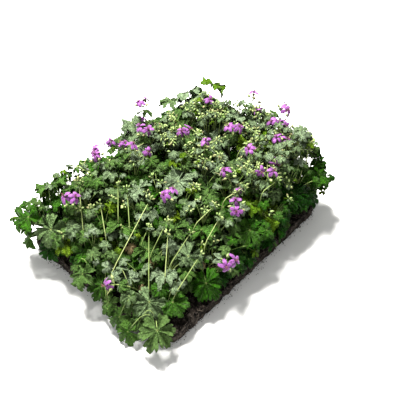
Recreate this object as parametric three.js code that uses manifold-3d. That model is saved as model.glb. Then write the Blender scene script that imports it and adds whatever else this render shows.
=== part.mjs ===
// A clump-forming hardy geranium (cranesbill) growing in a rectangular slab of fibrous soil.
// Millimetres, +Z up. The origin is the middle of the slab's flat underside, with the slab's
// long side along X. Each plant is one body of stock, leaf stalks and leaves. Each flower stem
// with its buds and beaked fruits is another, and the petals that it carries are a third.
import * as THREE from "three";
import { mergeVertices } from "three/addons/utils/BufferGeometryUtils.js";
import Module from "manifold-3d";

const wasm = await Module();
wasm.setup();

// ---- Driving dimensions ----
const soil = {
  length: 500,
  width: 390,
  depth: 34,
  frontCorner: 52,
  otherCorners: 22,
  columns: 44,
  crumble: 2,
  crumbleTurn: 2.4,
  crumbleShift: 1.7,
};
// Crossing waves that make the slab's top uneven, each with its share of the height.
const relief = {
  height: 3,
  broad: { share: 0.5, x: 19, y: 23, shift: 1.3 },
  fine: { share: 0.3, x: 9.1, y: 13.7 },
  ridges: { share: 0.2, x: 31, y: 11 },
};
const hole = { top: 20, stemSides: 5 };
const planting = { columns: 4, rows: 3, spacingX: 125, spacingY: 122, jitter: 9 };
// A plant's woody stock: shares are of the head's height, and of the neck's radius for taper.
const stock = {
  sides: 6,
  neckRadius: 4.6,
  headRadius: 8,
  rootDepth: 22,
  headHeight: 15,
  shoulder: 0.6,
  collar: 0.2,
  taper: 0.9,
};

// The leaves' height over the soil: low at the front corner, where -X meets -Y, rising behind
// it, and a little lower along the sides at -X and -Y.
const canopy = { front: 44, rise: 84, backRise: 36, riseLength: 330, backLength: 300 };
const edge = { drop: 0.3, dropLength: 70 };
// How far a leaf's middle may pass the slab's edges at -X, at -Y and at the far sides: below
// zero it stays inside.
const reachPast = { left: 18, front: -4, back: 30 };

// A leaf's own form, with lengths as shares of its radius from notch to droop.
const leaf = {
  lobes: 7,
  radius: [31, 42],
  sinusAngle: 20,
  notch: 0.38,
  sinus: 0.13,
  lobeShare: 0.66,
  baseShare: 0.84,
  unevenness: 0.04,
  droop: 0.13,
  meanDroop: 0.45,
  notchLift: 0.03,
  halfThickness: 1.3,
  stalkRadius: 1.05,
  stalkSteps: 2,
};
// High leaves make the canopy and low ones stand under it.
const highLeaves = {
  perPlant: 9,
  level: [0.76, 1.04],
  levelFall: 0.14,
  size: 1,
  tilt: 0.28,
  turn: 0,
  rootShare: 0.75,
};
const lowLeaves = {
  perPlant: 6,
  level: [0.28, 0.82],
  levelFall: 0,
  size: 0.9,
  tilt: 0.5,
  turn: 1,
  rootShare: 0.45,
};
const spread = { reach: 96, vary: [0.82, 1.12], first: 0.7, lowLeast: 0.3 };
const pose = { tiltOutward: 0.3, tiltVary: [-0.22, 0.3], sideTilt: 0.35, turnVary: 0.5 };
const clear = { leastHeight: 20, aboveSoil: 6 };
// What a leaf has given up by its last try for a free place: shares, and a turn in radians.
const yielding = { tries: 120, turn: 3, reach: 0.4, size: 0.28, tilt: 0.6 };

const flowerStem = {
  radius: 1.35,
  steps: 3,
  rootDepth: 11,
  rootOffset: 15,
  turnVary: 0.6,
  overCanopy: [4, 14],
  wander: [3, 30],
  wanderLift: 0.3,
  collar: 5,
  bractDrop: 13,
  pairShare: 0.6,
  tries: 60,
};
// Where the flower stems end, seen from above.
const headPlaces = [
  [-195, 100],
  [-90, 142],
  [-40, 122],
  [-15, 68],
  [34, 122],
  [70, 170],
  [85, 70],
  [82, 10],
  [135, 0],
  [183, 88],
  [182, -22],
  [255, 12],
  [260, -50],
  [200, -104],
  [148, -80],
  [115, -132],
  [56, -88],
  [20, -136],
  [-27, -136],
  [-75, -188],
  [-250, -65],
  [-58, -22],
];
const flower = {
  radius: 13,
  halfThickness: 0.9,
  petals: 5,
  shoulder: 0.27,
  notch: 0.4,
  reflex: 0.2,
  spacing: 21,
};
const pedicel = { radius: 0.8, flowerLength: 17, budLength: 11, inStem: 1.5, knee: 2.5 };
// Shares of the bud's length tell how far the calyx stands under a flower, and where a bud is
// widest.
const bud = {
  radius: 2.8,
  length: 9.5,
  widest: 0.4,
  calyxBase: 0.75,
  calyxTop: 0.3,
  beakLength: 11,
  beakRadius: 0.9,
  sides: 3,
};
// Each head carries the same number of parts, open and closed. Leans and turns in radians.
const cluster = {
  parts: 5,
  singleLean: 0.25,
  faceOut: 0.35,
  besidePair: [1, 2.1, 4.6],
  fruits: 2,
  fruitLean: 0.95,
  budLean: 1.25,
  budLeanVary: 0.15,
};
const bract = {
  radius: 15,
  reach: 6,
  lobes: 3,
  sinusAngle: 130,
  halfThickness: 0.9,
  lean: 1.35,
  faceOut: 0.25,
  inStem: 0.2,
};
// Room kept free round a head of flowers and buds, and round its bracts.
const headRoom = { above: 8, radius: 26, deep: 10 };
const bractRoom = { radius: 21, deep: 3 };
const gap = { seat: 0.35, blade: 5, head: 2, edge: 1.5, stalk: 2.8 };
const stalkLean = { leaf: 0.42, flowerStem: 0.3, kneeHeight: 0.72 };
const stalkCorners = 3;
const seed = { places: 20117, growth: 20124 };
const parallel = { slope: 0.08, stretch: 1e-9 };
const mergeWithin = 1e-3;

// ---- Small helpers ----
const rad = (degrees) => (degrees * Math.PI) / 180;
const goldenAngle = rad(137.50776);
const smooth = (t) => {
  const u = Math.min(1, Math.max(0, t));
  return u * u * (3 - 2 * u);
};

// Evenly spread numbers from 0 to 1, the same each run.
function dice(start) {
  let state = start;
  return (low = 0, high = 1) => {
    state = (state * 1664525 + 1013904223) % 4294967296;
    return low + ((high - low) * state) / 4294967296;
  };
}

const add = (a, b, k = 1) => [a[0] + b[0] * k, a[1] + b[1] * k, a[2] + b[2] * k];
const dot = (a, b) => a[0] * b[0] + a[1] * b[1] + a[2] * b[2];
const cross = (a, b) => [
  a[1] * b[2] - a[2] * b[1],
  a[2] * b[0] - a[0] * b[2],
  a[0] * b[1] - a[1] * b[0],
];
const size = (a) => Math.sqrt(dot(a, a));
const unit = (a) => add([0, 0, 0], a, 1 / size(a));

// ---- The slab's top surface and the canopy over it ----
function soilRelief(x, y) {
  const { height, broad, fine, ridges } = relief;
  const broadWave = broad.share * Math.sin(x / broad.x + broad.shift) * Math.cos(y / broad.y);
  const fineWave = fine.share * Math.sin(x / fine.x + y / fine.y);
  const ridgeWave = ridges.share * Math.cos(x / ridges.x - y / ridges.y);
  return height * (broadWave + fineWave + ridgeWave);
}

const groundAt = (x, y) => soil.depth + soilRelief(x, y);

function canopyHeight(x, y) {
  const fromCorner = Math.hypot(x + soil.length / 2, y + soil.width / 2);
  const inside = Math.min(soil.length / 2 + x, soil.width / 2 + y);
  const height =
    canopy.front +
    canopy.rise * smooth(fromCorner / canopy.riseLength) +
    canopy.backRise * smooth((fromCorner - canopy.riseLength) / canopy.backLength);
  return height * (1 - edge.drop * (1 - smooth(inside / edge.dropLength)));
}

const overSlab = (x, y) =>
  x > -soil.length / 2 - reachPast.left &&
  x < soil.length / 2 + reachPast.back &&
  y > -soil.width / 2 - reachPast.front &&
  y < soil.width / 2 + reachPast.back;

// ---- Clearance between what has grown already and what is tried next ----
const grown = { blades: [], stalks: [] };

// Two round blades, each {middle, normal, radius, deep}, closer than the gap.
function bladesTouch(a, b, least) {
  const room = least + a.deep + b.deep;
  const beside = gap.edge + a.deep + b.deep;
  const apart = add(a.middle, b.middle, -1);
  if (size(apart) > a.radius + b.radius + beside) return false;
  const lean = dot(a.normal, b.normal);
  const slope = Math.sqrt(Math.max(0, 1 - lean * lean));
  const aOverB = dot(apart, b.normal);
  const bOverA = -dot(apart, a.normal);
  if (Math.abs(aOverB) > a.radius * slope + room) return false;
  if (Math.abs(bOverA) > b.radius * slope + room) return false;
  if (slope < parallel.slope) return true;
  // Both cross the line where their planes meet: compare the stretches that they cover on it.
  const line = unit(cross(a.normal, b.normal));
  const toLineA = bOverA / slope;
  const toLineB = aOverB / slope;
  const halfA = Math.sqrt(Math.max(0, a.radius * a.radius - toLineA * toLineA));
  const halfB = Math.sqrt(Math.max(0, b.radius * b.radius - toLineB * toLineB));
  return Math.abs(dot(apart, line)) < halfA + halfB + beside;
}

// A stalk, a list of points, that comes closer to a round blade than the gap.
function stalkMeetsBlade(stalk, blade, least) {
  const room = least + blade.deep;
  for (let i = 1; i < stalk.length; i++) {
    const p = add(stalk[i - 1], blade.middle, -1);
    const q = add(stalk[i], blade.middle, -1);
    const hp = dot(p, blade.normal);
    const hq = dot(q, blade.normal);
    if ((hp > room && hq > room) || (hp < -room && hq < -room)) continue;
    const t = Math.min(1, Math.max(0, hp === hq ? 0.5 : hp / (hp - hq)));
    const at = add(p, add(q, p, -1), t);
    const height = dot(at, blade.normal);
    if (size(add(at, blade.normal, -height)) < blade.radius + room) return true;
  }
  return false;
}

function stretchGap(p, q, r, s) {
  const d1 = add(q, p, -1);
  const d2 = add(s, r, -1);
  const w = add(p, r, -1);
  const a = dot(d1, d1);
  const b = dot(d1, d2);
  const c = dot(d2, d2);
  const d = dot(d1, w);
  const e = dot(d2, w);
  const det = a * c - b * b;
  let t = det < parallel.stretch ? 0 : Math.min(1, Math.max(0, (b * e - c * d) / det));
  const u = Math.min(1, Math.max(0, (b * t + e) / c));
  t = Math.min(1, Math.max(0, (b * u - d) / a));
  return size(add(add(w, d1, t), d2, -u));
}

function stalksTouch(a, b, room) {
  for (let i = 1; i < a.length; i++) {
    for (let j = 1; j < b.length; j++) {
      if (stretchGap(a[i - 1], a[i], b[j - 1], b[j]) < room) return true;
    }
  }
  return false;
}

// True if a stalk and its blades have room. Stalks of one plant may meet at its stock.
function hasRoom(blades, stalk, plant, bladeRoom) {
  for (const old of grown.blades) {
    if (stalkMeetsBlade(stalk, old, gap.stalk)) return false;
    if (blades.some((blade) => bladesTouch(blade, old, bladeRoom))) return false;
  }
  for (const old of grown.stalks) {
    if (old.plant !== plant && stalksTouch(stalk, old.path, gap.stalk)) return false;
    if (blades.some((blade) => stalkMeetsBlade(old.path, blade, gap.stalk))) return false;
  }
  return true;
}

// ---- Where everything grows ----
function plantPlaces() {
  const roll = dice(seed.places);
  const places = [];
  for (let row = 0; row < planting.rows; row++) {
    for (let column = 0; column < planting.columns; column++) {
      const x = (column - (planting.columns - 1) / 2) * planting.spacingX;
      const y = (row - (planting.rows - 1) / 2) * planting.spacingY;
      const shiftX = roll(-planting.jitter, planting.jitter);
      const shiftY = roll(-planting.jitter, planting.jitter);
      places.push([x + shiftX, y + shiftY]);
    }
  }
  return places;
}

// Points along a stalk that leaves its root upwards and bends over to its end.
function bend(root, end, lean, steps) {
  const knee = [
    root[0] + (end[0] - root[0]) * lean,
    root[1] + (end[1] - root[1]) * lean,
    root[2] + (end[2] - root[2]) * stalkLean.kneeHeight,
  ];
  const points = [];
  for (let i = 0; i <= steps; i++) {
    const t = i / steps;
    const s = 1 - t;
    points.push([0, 1, 2].map((k) => s * s * root[k] + 2 * s * t * knee[k] + t * t * end[k]));
  }
  return points;
}

// A direction that leans away from an axis by one angle and turns round it by another.
function leaning(axis, lean, turn) {
  const side = unit(cross(axis, [1, 0, 0]));
  const ahead = cross(side, axis);
  const out = add(add([0, 0, 0], ahead, Math.cos(turn)), side, Math.sin(turn));
  return add(add([0, 0, 0], axis, Math.cos(lean)), out, Math.sin(lean));
}

// Each flower stem grows from the nearest plant and ends close to its place over the canopy.
function flowerStemPlan(headPlace, places, roll) {
  const away = ([x, y]) => Math.hypot(x - headPlace[0], y - headPlace[1]);
  const plant = places.reduce((best, place, i) => (away(place) < away(places[best]) ? i : best), 0);
  const [px, py] = places[plant];
  for (let tried = 0; tried < flowerStem.tries; tried++) {
    const [least, most] = flowerStem.wander;
    const wander = least + (most - least) * (tried / flowerStem.tries);
    const tip = [headPlace[0] + roll(-wander, wander), headPlace[1] + roll(-wander, wander)];
    const turned = roll(-flowerStem.turnVary, flowerStem.turnVary);
    const angle = Math.atan2(tip[1] - py, tip[0] - px) + turned;
    const over = roll(...flowerStem.overCanopy) + wander * flowerStem.wanderLift;
    const turn = roll(0, 2 * Math.PI);
    const open = roll() < flowerStem.pairShare ? 2 : 1;
    const footX = px + flowerStem.rootOffset * Math.cos(angle);
    const footY = py + flowerStem.rootOffset * Math.sin(angle);
    const ground = groundAt(footX, footY);
    const root = [footX, footY, ground + flowerStem.collar];
    const head = [tip[0], tip[1], soil.depth + canopyHeight(tip[0], tip[1]) + over];
    const rise = bend(root, head, stalkLean.flowerStem, flowerStem.steps);
    const axis = unit(add(head, rise[flowerStem.steps - 1], -1));
    const bracts = add(head, axis, -flowerStem.bractDrop);
    const top = { middle: add(head, axis, headRoom.above), normal: axis, ...headRoom };
    const under = { middle: bracts, normal: axis, ...bractRoom };
    if (!hasRoom([top, under], rise, plant, gap.head)) continue;
    grown.blades.push(top, under);
    grown.stalks.push({ plant: -1 - grown.stalks.length, path: rise });
    const stalk = [[footX, footY, ground - flowerStem.rootDepth], ...rise];
    return { foot: [footX, footY], stalk, head, axis, bracts, turn, open };
  }
  return null;
}

function leafPlan([px, py], plant, index, kind, roll) {
  const low = kind === lowLeaves;
  for (let tried = 0; tried < yielding.tries; tried++) {
    const ease = tried / yielding.tries;
    const turned = roll(-1, 1) * (pose.turnVary + yielding.turn * ease);
    const angle = index * goldenAngle + plant + kind.turn + turned;
    const out = [Math.cos(angle), Math.sin(angle), 0];
    const inOrder = Math.sqrt((index + spread.first) / kind.perPlant);
    const share = low ? roll(spread.lowLeast, 1) : inOrder;
    const reach = spread.reach * share * roll(...spread.vary) * (1 - yielding.reach * ease);
    const level = roll(...kind.level) - kind.levelFall * share;
    const radius = roll(...leaf.radius) * kind.size * (1 - yielding.size * ease);
    const lean = roll(...pose.tiltVary) + kind.tilt + pose.tiltOutward * share;
    const tilt = lean * (1 - yielding.tilt * ease);
    const side = roll(-pose.sideTilt, pose.sideTilt);
    const x = px + out[0] * reach;
    const y = py + out[1] * reach;
    if (!overSlab(x, y)) continue;
    const height = Math.max(clear.leastHeight, canopyHeight(x, y) * level);
    const middle = [x, y, soil.depth + height];
    const normal = unit([out[0] * tilt - out[1] * side, out[1] * tilt + out[0] * side, 1]);
    const rootHeight = stock.headHeight * kind.rootShare;
    const rootOut = stock.headRadius / 2;
    const root = [px + out[0] * rootOut, py + out[1] * rootOut, groundAt(px, py) + rootHeight];
    const seat = add(middle, normal, -leaf.halfThickness);
    const stalk = bend(root, seat, stalkLean.leaf, leaf.stalkSteps);
    const mean = add(middle, normal, -leaf.meanDroop * leaf.droop * radius);
    const disc = { middle: mean, normal, radius, deep: 0 };
    const lowest = mean[2] - radius * Math.sqrt(1 - normal[2] * normal[2]);
    if (lowest < soil.depth + clear.aboveSoil) continue;
    const below = [...stalk.slice(0, -1), add(middle, normal, -gap.blade)];
    if (!hasRoom([disc], below, plant, gap.blade)) continue;
    grown.blades.push(disc);
    grown.stalks.push({ plant, path: stalk });
    return { plant, middle, normal, radius, out, stalk };
  }
  return null;
}

function growAll() {
  const places = plantPlaces();
  const roll = dice(seed.growth);
  const stems = headPlaces.map((headPlace) => flowerStemPlan(headPlace, places, roll));
  const leaves = [];
  for (const kind of [highLeaves, lowLeaves]) {
    for (let index = 0; index < kind.perPlant; index++) {
      places.forEach((place, plant) => leaves.push(leafPlan(place, plant, index, kind, roll)));
    }
  }
  return { places, stems: stems.filter(Boolean), leaves: leaves.filter(Boolean) };
}

// ---- Solids ----
function solidOf(geometry) {
  geometry.deleteAttribute("normal");
  geometry.deleteAttribute("uv");
  const merged = mergeVertices(geometry, mergeWithin);
  const vertProperties = merged.attributes.position.array;
  const corners = merged.index.array;
  const kept = [];
  for (let i = 0; i < corners.length; i += 3) {
    const [a, b, c] = corners.slice(i, i + 3);
    if (a !== b && b !== c && c !== a) kept.push(a, b, c);
  }
  const triVerts = new Uint32Array(kept);
  return new wasm.Manifold(new wasm.Mesh({ numProp: 3, vertProperties, triVerts }));
}

function meshOf(name, solid, material) {
  const { vertProperties, triVerts } = solid.getMesh();
  const geometry = new THREE.BufferGeometry();
  geometry.setAttribute("position", new THREE.BufferAttribute(vertProperties, 3));
  geometry.setIndex(new THREE.BufferAttribute(triVerts, 1));
  const mesh = new THREE.Mesh(geometry, material.clone());
  mesh.name = name;
  return mesh;
}

// A closed skin from pole to pole: each row of columns goes where the rule puts it. Columns
// run anticlockwise seen from the first pole. Columns that share a place become one corner.
function wrap(columns, rows, place) {
  const geometry = new THREE.SphereGeometry(1, columns, rows);
  const position = geometry.attributes.position;
  for (let i = 0; i < position.count; i++) {
    const row = Math.floor(i / (columns + 1));
    const column = (i % (columns + 1)) % columns;
    position.setXYZ(i, ...place(column, row));
  }
  return solidOf(geometry);
}

// A thin blade whose rim is a list of {angle, radius, height}, thickest over its middle.
function blade(rim, halfThickness, matrix) {
  const flat = wrap(rim.length, 2, (column, row) => {
    if (row !== 1) return [0, 0, (1 - row) * halfThickness];
    const { angle, radius, height } = rim[column];
    return [radius * Math.cos(angle), radius * Math.sin(angle), height];
  });
  return flat.transform(matrix.elements);
}

// Axes that point ahead, to the left and along the normal.
function facing(middle, normal, toward) {
  const ahead = unit(add(toward, normal, -dot(toward, normal)));
  const [x, y, z] = [ahead, cross(normal, ahead), normal].map((v) => new THREE.Vector3(...v));
  return new THREE.Matrix4().makeBasis(x, y, z).setPosition(...middle);
}

// A palmate rim: lobes with two shoulders each, notches between and a sinus at the stalk.
function lobedRim(form) {
  const { lobes, sinusAngle, radius, notch, sinus, lobeShare, baseShare, droop } = form;
  const rim = [{ angle: Math.PI, radius: sinus * radius, height: 0 }];
  const pitch = (2 * Math.PI - rad(sinusAngle)) / lobes;
  for (let lobe = 0; lobe < lobes; lobe++) {
    const middle = Math.PI + rad(sinusAngle) / 2 + pitch * (lobe + 0.5);
    const share = baseShare + (1 - baseShare) * 0.5 * (1 + Math.cos(middle));
    for (const shoulder of [-1, 1]) {
      const uneven = 1 + form.unevenness * Math.sin(5 * lobe + 2 * shoulder);
      rim.push({
        angle: middle + (shoulder * lobeShare * pitch) / 2,
        radius: radius * share * uneven,
        height: -droop * radius * uneven,
      });
    }
    if (lobe < lobes - 1) {
      rim.push({ angle: middle + pitch / 2, radius: notch * radius, height: form.notchLift * radius });
    }
  }
  return rim;
}

// Broad petals, turned back a little at their tips.
function petalRim({ radius, petals, shoulder, notch, reflex }) {
  const rim = [];
  const pitch = (2 * Math.PI) / petals;
  for (let petal = 0; petal < petals; petal++) {
    const middle = petal * pitch;
    for (const side of [-shoulder, shoulder]) {
      rim.push({ angle: middle + side * pitch, radius, height: -reflex * radius });
    }
    rim.push({ angle: middle + pitch / 2, radius: notch * radius, height: 0 });
  }
  return rim;
}

// A path that passes through its points one step at a time.
class StalkPath extends THREE.Curve {
  constructor(points) {
    super();
    this.points = points.map((p) => new THREE.Vector3(...p));
  }
  getPoint(t) {
    const last = this.points.length - 1;
    const step = Math.min(last - 1, Math.floor(t * last));
    return this.points[step].clone().lerp(this.points[step + 1], t * last - step);
  }
  getSpacedPoints() {
    return this.points.map((p) => p.clone());
  }
  getTangentAt(t) {
    const near = 1 / (4 * this.points.length);
    const from = this.getPoint(Math.max(0, t - near));
    return this.getPoint(Math.min(1, t + near)).sub(from).normalize();
  }
}

function stalkSolid(points, radius) {
  const corners = [0, 1, 2].map((k) => {
    const angle = (k * 2 * Math.PI) / stalkCorners;
    return new THREE.Vector2(radius * Math.cos(angle), radius * Math.sin(angle));
  });
  const extrudePath = new StalkPath(points);
  const options = { steps: points.length - 1, extrudePath, bevelEnabled: false };
  return solidOf(new THREE.ExtrudeGeometry(new THREE.Shape(corners), options));
}

// A closed skin along a bent line from one point to another, with rings of {at, radius} between.
function turned(from, rings, to, sides) {
  const line = [from, ...rings.map((ring) => ring.at), to];
  return wrap(sides, line.length - 1, (column, row) => {
    const k = line.length - 1 - row;
    if (row === 0 || k === 0) return line[k];
    const axis = unit(add(line[k + 1], line[k - 1], -1));
    const out = leaning(axis, Math.PI / 2, (column * 2 * Math.PI) / sides);
    return add(line[k], out, rings[k - 1].radius);
  });
}

const joined = (solids) => solids.reduce((all, one) => all.add(one));

function soilSolid(places, stems) {
  const l = soil.length / 2;
  const w = soil.width / 2;
  const r = soil.otherCorners;
  const front = soil.frontCorner;
  const outline = new THREE.Shape()
    .absarc(l - r, w - r, r, 0, rad(90))
    .absarc(-l + r, w - r, r, rad(90), rad(180))
    .absarc(-l + front, -w + front, front, rad(180), rad(270))
    .absarc(l - r, -w + r, r, rad(270), rad(360));
  outline.closePath();
  const around = outline.getSpacedPoints(soil.columns);
  // Each row's share of the outline and, below the top, its share of the depth.
  const rows = [[0], [0.4], [0.72], [0.92], [0.985, 0.93], [1, 0.5], [0.975, 0], [0, 0]];
  const slab = wrap(soil.columns, rows.length - 1, (column, row) => {
    const [share, level] = rows[row];
    const corner = around[column];
    const wave = Math.sin(column * soil.crumbleTurn + row * soil.crumbleShift);
    const rough = level === undefined ? 0 : soil.crumble * wave;
    const out = share === 0 ? 0 : share + rough / corner.length();
    const x = corner.x * out;
    const y = corner.y * out;
    return [x, y, level === undefined ? groundAt(x, y) : soil.depth * level];
  });
  const stockHoles = places.map(([x, y]) => {
    const ground = groundAt(x, y);
    const radius = stock.neckRadius + gap.seat;
    const low = ground - stock.rootDepth - gap.seat;
    return prism(x, y, low, ground + hole.top, radius, stock.sides);
  });
  const stemHoles = stems.map(({ foot: [x, y] }) => {
    const ground = groundAt(x, y);
    const radius = (flowerStem.radius + gap.seat) / Math.cos(Math.PI / hole.stemSides);
    const low = ground - flowerStem.rootDepth - gap.seat;
    return prism(x, y, low, ground + hole.top, radius, hole.stemSides);
  });
  return slab.subtract(joined([...stockHoles, ...stemHoles]));
}

function prism(x, y, low, high, radius, sides) {
  return wrap(sides, 3, (column, row) => {
    const angle = (column * 2 * Math.PI) / sides;
    const r = row === 0 || row === 3 ? 0 : radius;
    return [x + r * Math.cos(angle), y + r * Math.sin(angle), row < 2 ? high : low];
  });
}

// The woody stock: a root stub in the soil and a thicker head above it.
function stockSolid([x, y]) {
  const ground = groundAt(x, y);
  const { headRadius, neckRadius, headHeight, rootDepth, sides, shoulder, collar, taper } = stock;
  const rows = [
    [0, headHeight],
    [headRadius, headHeight * shoulder],
    [neckRadius, headHeight * collar],
    [neckRadius * taper, -rootDepth],
    [0, -rootDepth],
  ];
  return wrap(sides, rows.length - 1, (column, row) => {
    const [radius, height] = rows[row];
    const angle = (column * 2 * Math.PI) / sides;
    return [x + radius * Math.cos(angle), y + radius * Math.sin(angle), ground + height];
  });
}

// A leaf and its stalk in one skin: over the blade, round its rim, and down a stalk with
// three corners.
function leafSolid({ middle, normal, radius, out, stalk }) {
  const rim = lobedRim({ ...leaf, radius });
  const matrix = facing(middle, normal, out);
  const onBlade = (x, y, z) => new THREE.Vector3(x, y, z).applyMatrix4(matrix).toArray();
  const last = stalk.length - 1;
  return wrap(rim.length, stalk.length + 2, (column, row) => {
    if (row === 0) return onBlade(0, 0, leaf.halfThickness);
    if (row === 1) {
      const { angle, radius, height } = rim[column];
      return onBlade(radius * Math.cos(angle), radius * Math.sin(angle), height);
    }
    const k = stalk.length + 1 - row;
    if (k < 0) return stalk[0];
    const axis = unit(add(stalk[Math.min(last, k + 1)], stalk[Math.max(0, k - 1)], -1));
    const ahead = unit(add(out, axis, -dot(out, axis)));
    const left = cross(axis, ahead);
    const corner = Math.floor((column * stalkCorners) / rim.length);
    const angle = rad(240 + (360 / stalkCorners) * corner);
    const across = add(add([0, 0, 0], ahead, Math.cos(angle)), left, Math.sin(angle));
    return add(stalk[k], across, leaf.stalkRadius);
  });
}

// What a flower stem carries: open flowers, buds and beaked fruits on their pedicels.
function headParts({ head, axis, turn, open }) {
  const pairLean = Math.asin(flower.spacing / 2 / pedicel.flowerLength);
  const lean = open === 2 ? pairLean : cluster.singleLean;
  const parts = [];
  for (let k = 0; k < open; k++) {
    const along = leaning(axis, lean, turn + k * Math.PI);
    const tip = add(head, along, pedicel.flowerLength);
    parts.push({ kind: "flower", tip, along, normal: unit(add(axis, along, cluster.faceOut)) });
  }
  const closed = cluster.parts - open;
  for (let k = 0; k < closed; k++) {
    const beaked = open === 1 && k < cluster.fruits;
    const side = open === 2 ? cluster.besidePair[k] : (2 * k + 1) * (Math.PI / closed);
    const budLean = cluster.budLean + cluster.budLeanVary * Math.sin(3 * k + turn);
    const along = leaning(axis, beaked ? cluster.fruitLean : budLean, turn + side);
    parts.push({ kind: beaked ? "fruit" : "bud", tip: add(head, along, pedicel.budLength), along });
  }
  return parts;
}

// One pedicel and what it ends in: the calyx under a flower, a bud or a beaked fruit.
function headPartSolid({ head, axis }, { kind, tip, along, normal }) {
  const { radius } = pedicel;
  const from = add(head, axis, -pedicel.inStem);
  const knee = { at: add(head, along, pedicel.knee), radius };
  if (kind === "flower") {
    const cupBase = { at: add(tip, normal, -bud.calyxBase * bud.length), radius };
    const cupTop = { at: add(tip, normal, -bud.calyxTop * bud.length), radius: bud.radius };
    const end = add(tip, normal, -flower.halfThickness - gap.seat);
    return turned(from, [knee, cupBase, cupTop], end, bud.sides);
  }
  const base = { at: tip, radius };
  const widest = { at: add(tip, along, bud.widest * bud.length), radius: bud.radius };
  const end = add(tip, along, bud.length);
  if (kind === "bud") return turned(from, [knee, base, widest], end, bud.sides);
  const beakBase = { at: end, radius: bud.beakRadius };
  const beakEnd = add(end, along, bud.beakLength);
  return turned(from, [knee, base, widest, beakBase], beakEnd, bud.sides);
}

function bractSolid({ axis, bracts, turn }, side) {
  const along = leaning(axis, bract.lean, turn + (side * Math.PI) / 2);
  const middle = add(bracts, along, bract.reach);
  const normal = unit(add(axis, along, bract.faceOut));
  const sinus = (bract.reach - bract.inStem) / bract.radius;
  const rim = lobedRim({ ...leaf, ...bract, sinus });
  return blade(rim, bract.halfThickness, facing(middle, normal, along));
}

function flowerStemSolid(plan) {
  const parts = headParts(plan).map((part) => headPartSolid(plan, part));
  const bracts = [1, -1].map((side) => bractSolid(plan, side));
  return joined([stalkSolid(plan.stalk, flowerStem.radius), ...parts, ...bracts]);
}

function petalSolids(plan) {
  const flowers = headParts(plan).filter((part) => part.kind === "flower");
  return flowers.map(({ tip, normal }, k) => {
    const across = flowers.length === 2 ? add(flowers[1 - k].tip, tip, -1) : [1, 0, 0];
    return blade(petalRim(flower), flower.halfThickness, facing(tip, normal, across));
  });
}

// ---- The object ----
const finish = (color, roughness) =>
  new THREE.MeshStandardMaterial({ color, roughness, metalness: 0 });
const soilFinish = finish(0x2b241d, 0.95);
const leafFinish = finish(0x5c7a4a, 0.6);
const stemFinish = finish(0x8fa452, 0.6);
const petalFinish = finish(0xb45cc4, 0.55);
const numbered = (name, index) => `${name}_${String(index + 1).padStart(2, "0")}`;

const { places, stems, leaves } = growAll();
const geranium = new THREE.Group();
geranium.add(meshOf("soil_slab", soilSolid(places, stems), soilFinish));
places.forEach((place, plant) => {
  const own = leaves.filter((one) => one.plant === plant).map(leafSolid);
  geranium.add(meshOf(numbered("plant", plant), joined([stockSolid(place), ...own]), leafFinish));
});
stems.forEach((plan, index) => {
  geranium.add(meshOf(numbered("flower_stem", index), flowerStemSolid(plan), stemFinish));
  geranium.add(meshOf(numbered("petals", index), joined(petalSolids(plan)), petalFinish));
});

export default geranium;
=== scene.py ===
import math
import random

import bmesh
import bpy
import numpy as np
from mathutils import Matrix, Vector, noise


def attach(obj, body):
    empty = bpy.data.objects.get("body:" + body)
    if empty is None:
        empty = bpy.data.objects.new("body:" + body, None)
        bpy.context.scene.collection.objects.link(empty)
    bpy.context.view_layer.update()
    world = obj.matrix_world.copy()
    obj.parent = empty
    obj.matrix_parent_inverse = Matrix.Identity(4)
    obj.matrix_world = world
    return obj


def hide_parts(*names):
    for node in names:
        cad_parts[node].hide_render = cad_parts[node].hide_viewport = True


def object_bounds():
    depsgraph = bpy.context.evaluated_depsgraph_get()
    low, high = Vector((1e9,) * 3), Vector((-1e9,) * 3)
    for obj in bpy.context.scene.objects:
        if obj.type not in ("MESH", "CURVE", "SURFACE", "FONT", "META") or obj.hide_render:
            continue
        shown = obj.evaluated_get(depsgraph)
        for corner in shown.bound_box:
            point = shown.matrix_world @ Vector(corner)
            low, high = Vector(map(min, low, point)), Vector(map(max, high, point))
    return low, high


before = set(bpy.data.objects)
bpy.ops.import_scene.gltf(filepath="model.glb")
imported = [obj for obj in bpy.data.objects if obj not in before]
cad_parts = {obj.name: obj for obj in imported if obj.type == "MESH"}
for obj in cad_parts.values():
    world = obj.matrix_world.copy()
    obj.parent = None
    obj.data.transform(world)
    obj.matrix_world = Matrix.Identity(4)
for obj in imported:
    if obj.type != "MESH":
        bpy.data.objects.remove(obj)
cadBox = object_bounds()
print("frame loaded:", len(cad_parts), "nodes")

mm = 0.001
turnOnce = 2 * math.pi

# Lengths are millimetres, as in the part's own source, and angles radians, unless a note says otherwise.
slab = {"length": 500, "width": 390, "depth": 34, "frontCorner": 52, "otherCorners": 22}
relief = {
    "height": 3,
    "broad": (0.5, 19, 23, 1.3),
    "fine": (0.3, 9.1, 13.7),
    "ridges": (0.2, 31, 11),
}
planting = {"columns": 4, "rows": 3, "spacingX": 125, "spacingY": 122, "jitter": 9, "seed": 20117}
stock = {"headRadius": 8, "headHeight": 15}
canopy = {"front": 44, "rise": 84, "backRise": 36, "riseLength": 330, "backLength": 300,
          "edgeDrop": 0.3, "dropLength": 70}
reachPast = {"left": 18, "front": -4, "back": 30}
leaf = {"radius": (31, 42), "droop": 0.13, "meanDroop": 0.45, "halfThickness": 1.3, "seed": 20124}
highLeaves = {"low": False, "perPlant": 9, "level": (0.76, 1.04), "levelFall": 0.14, "size": 1,
              "tilt": 0.28, "turn": 0, "rootShare": 0.75}
lowLeaves = {"low": True, "perPlant": 6, "level": (0.28, 0.82), "levelFall": 0, "size": 0.9,
             "tilt": 0.5, "turn": 1, "rootShare": 0.45}
spread = {"reach": 96, "vary": (0.82, 1.12), "first": 0.7, "lowLeast": 0.3}
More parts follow.
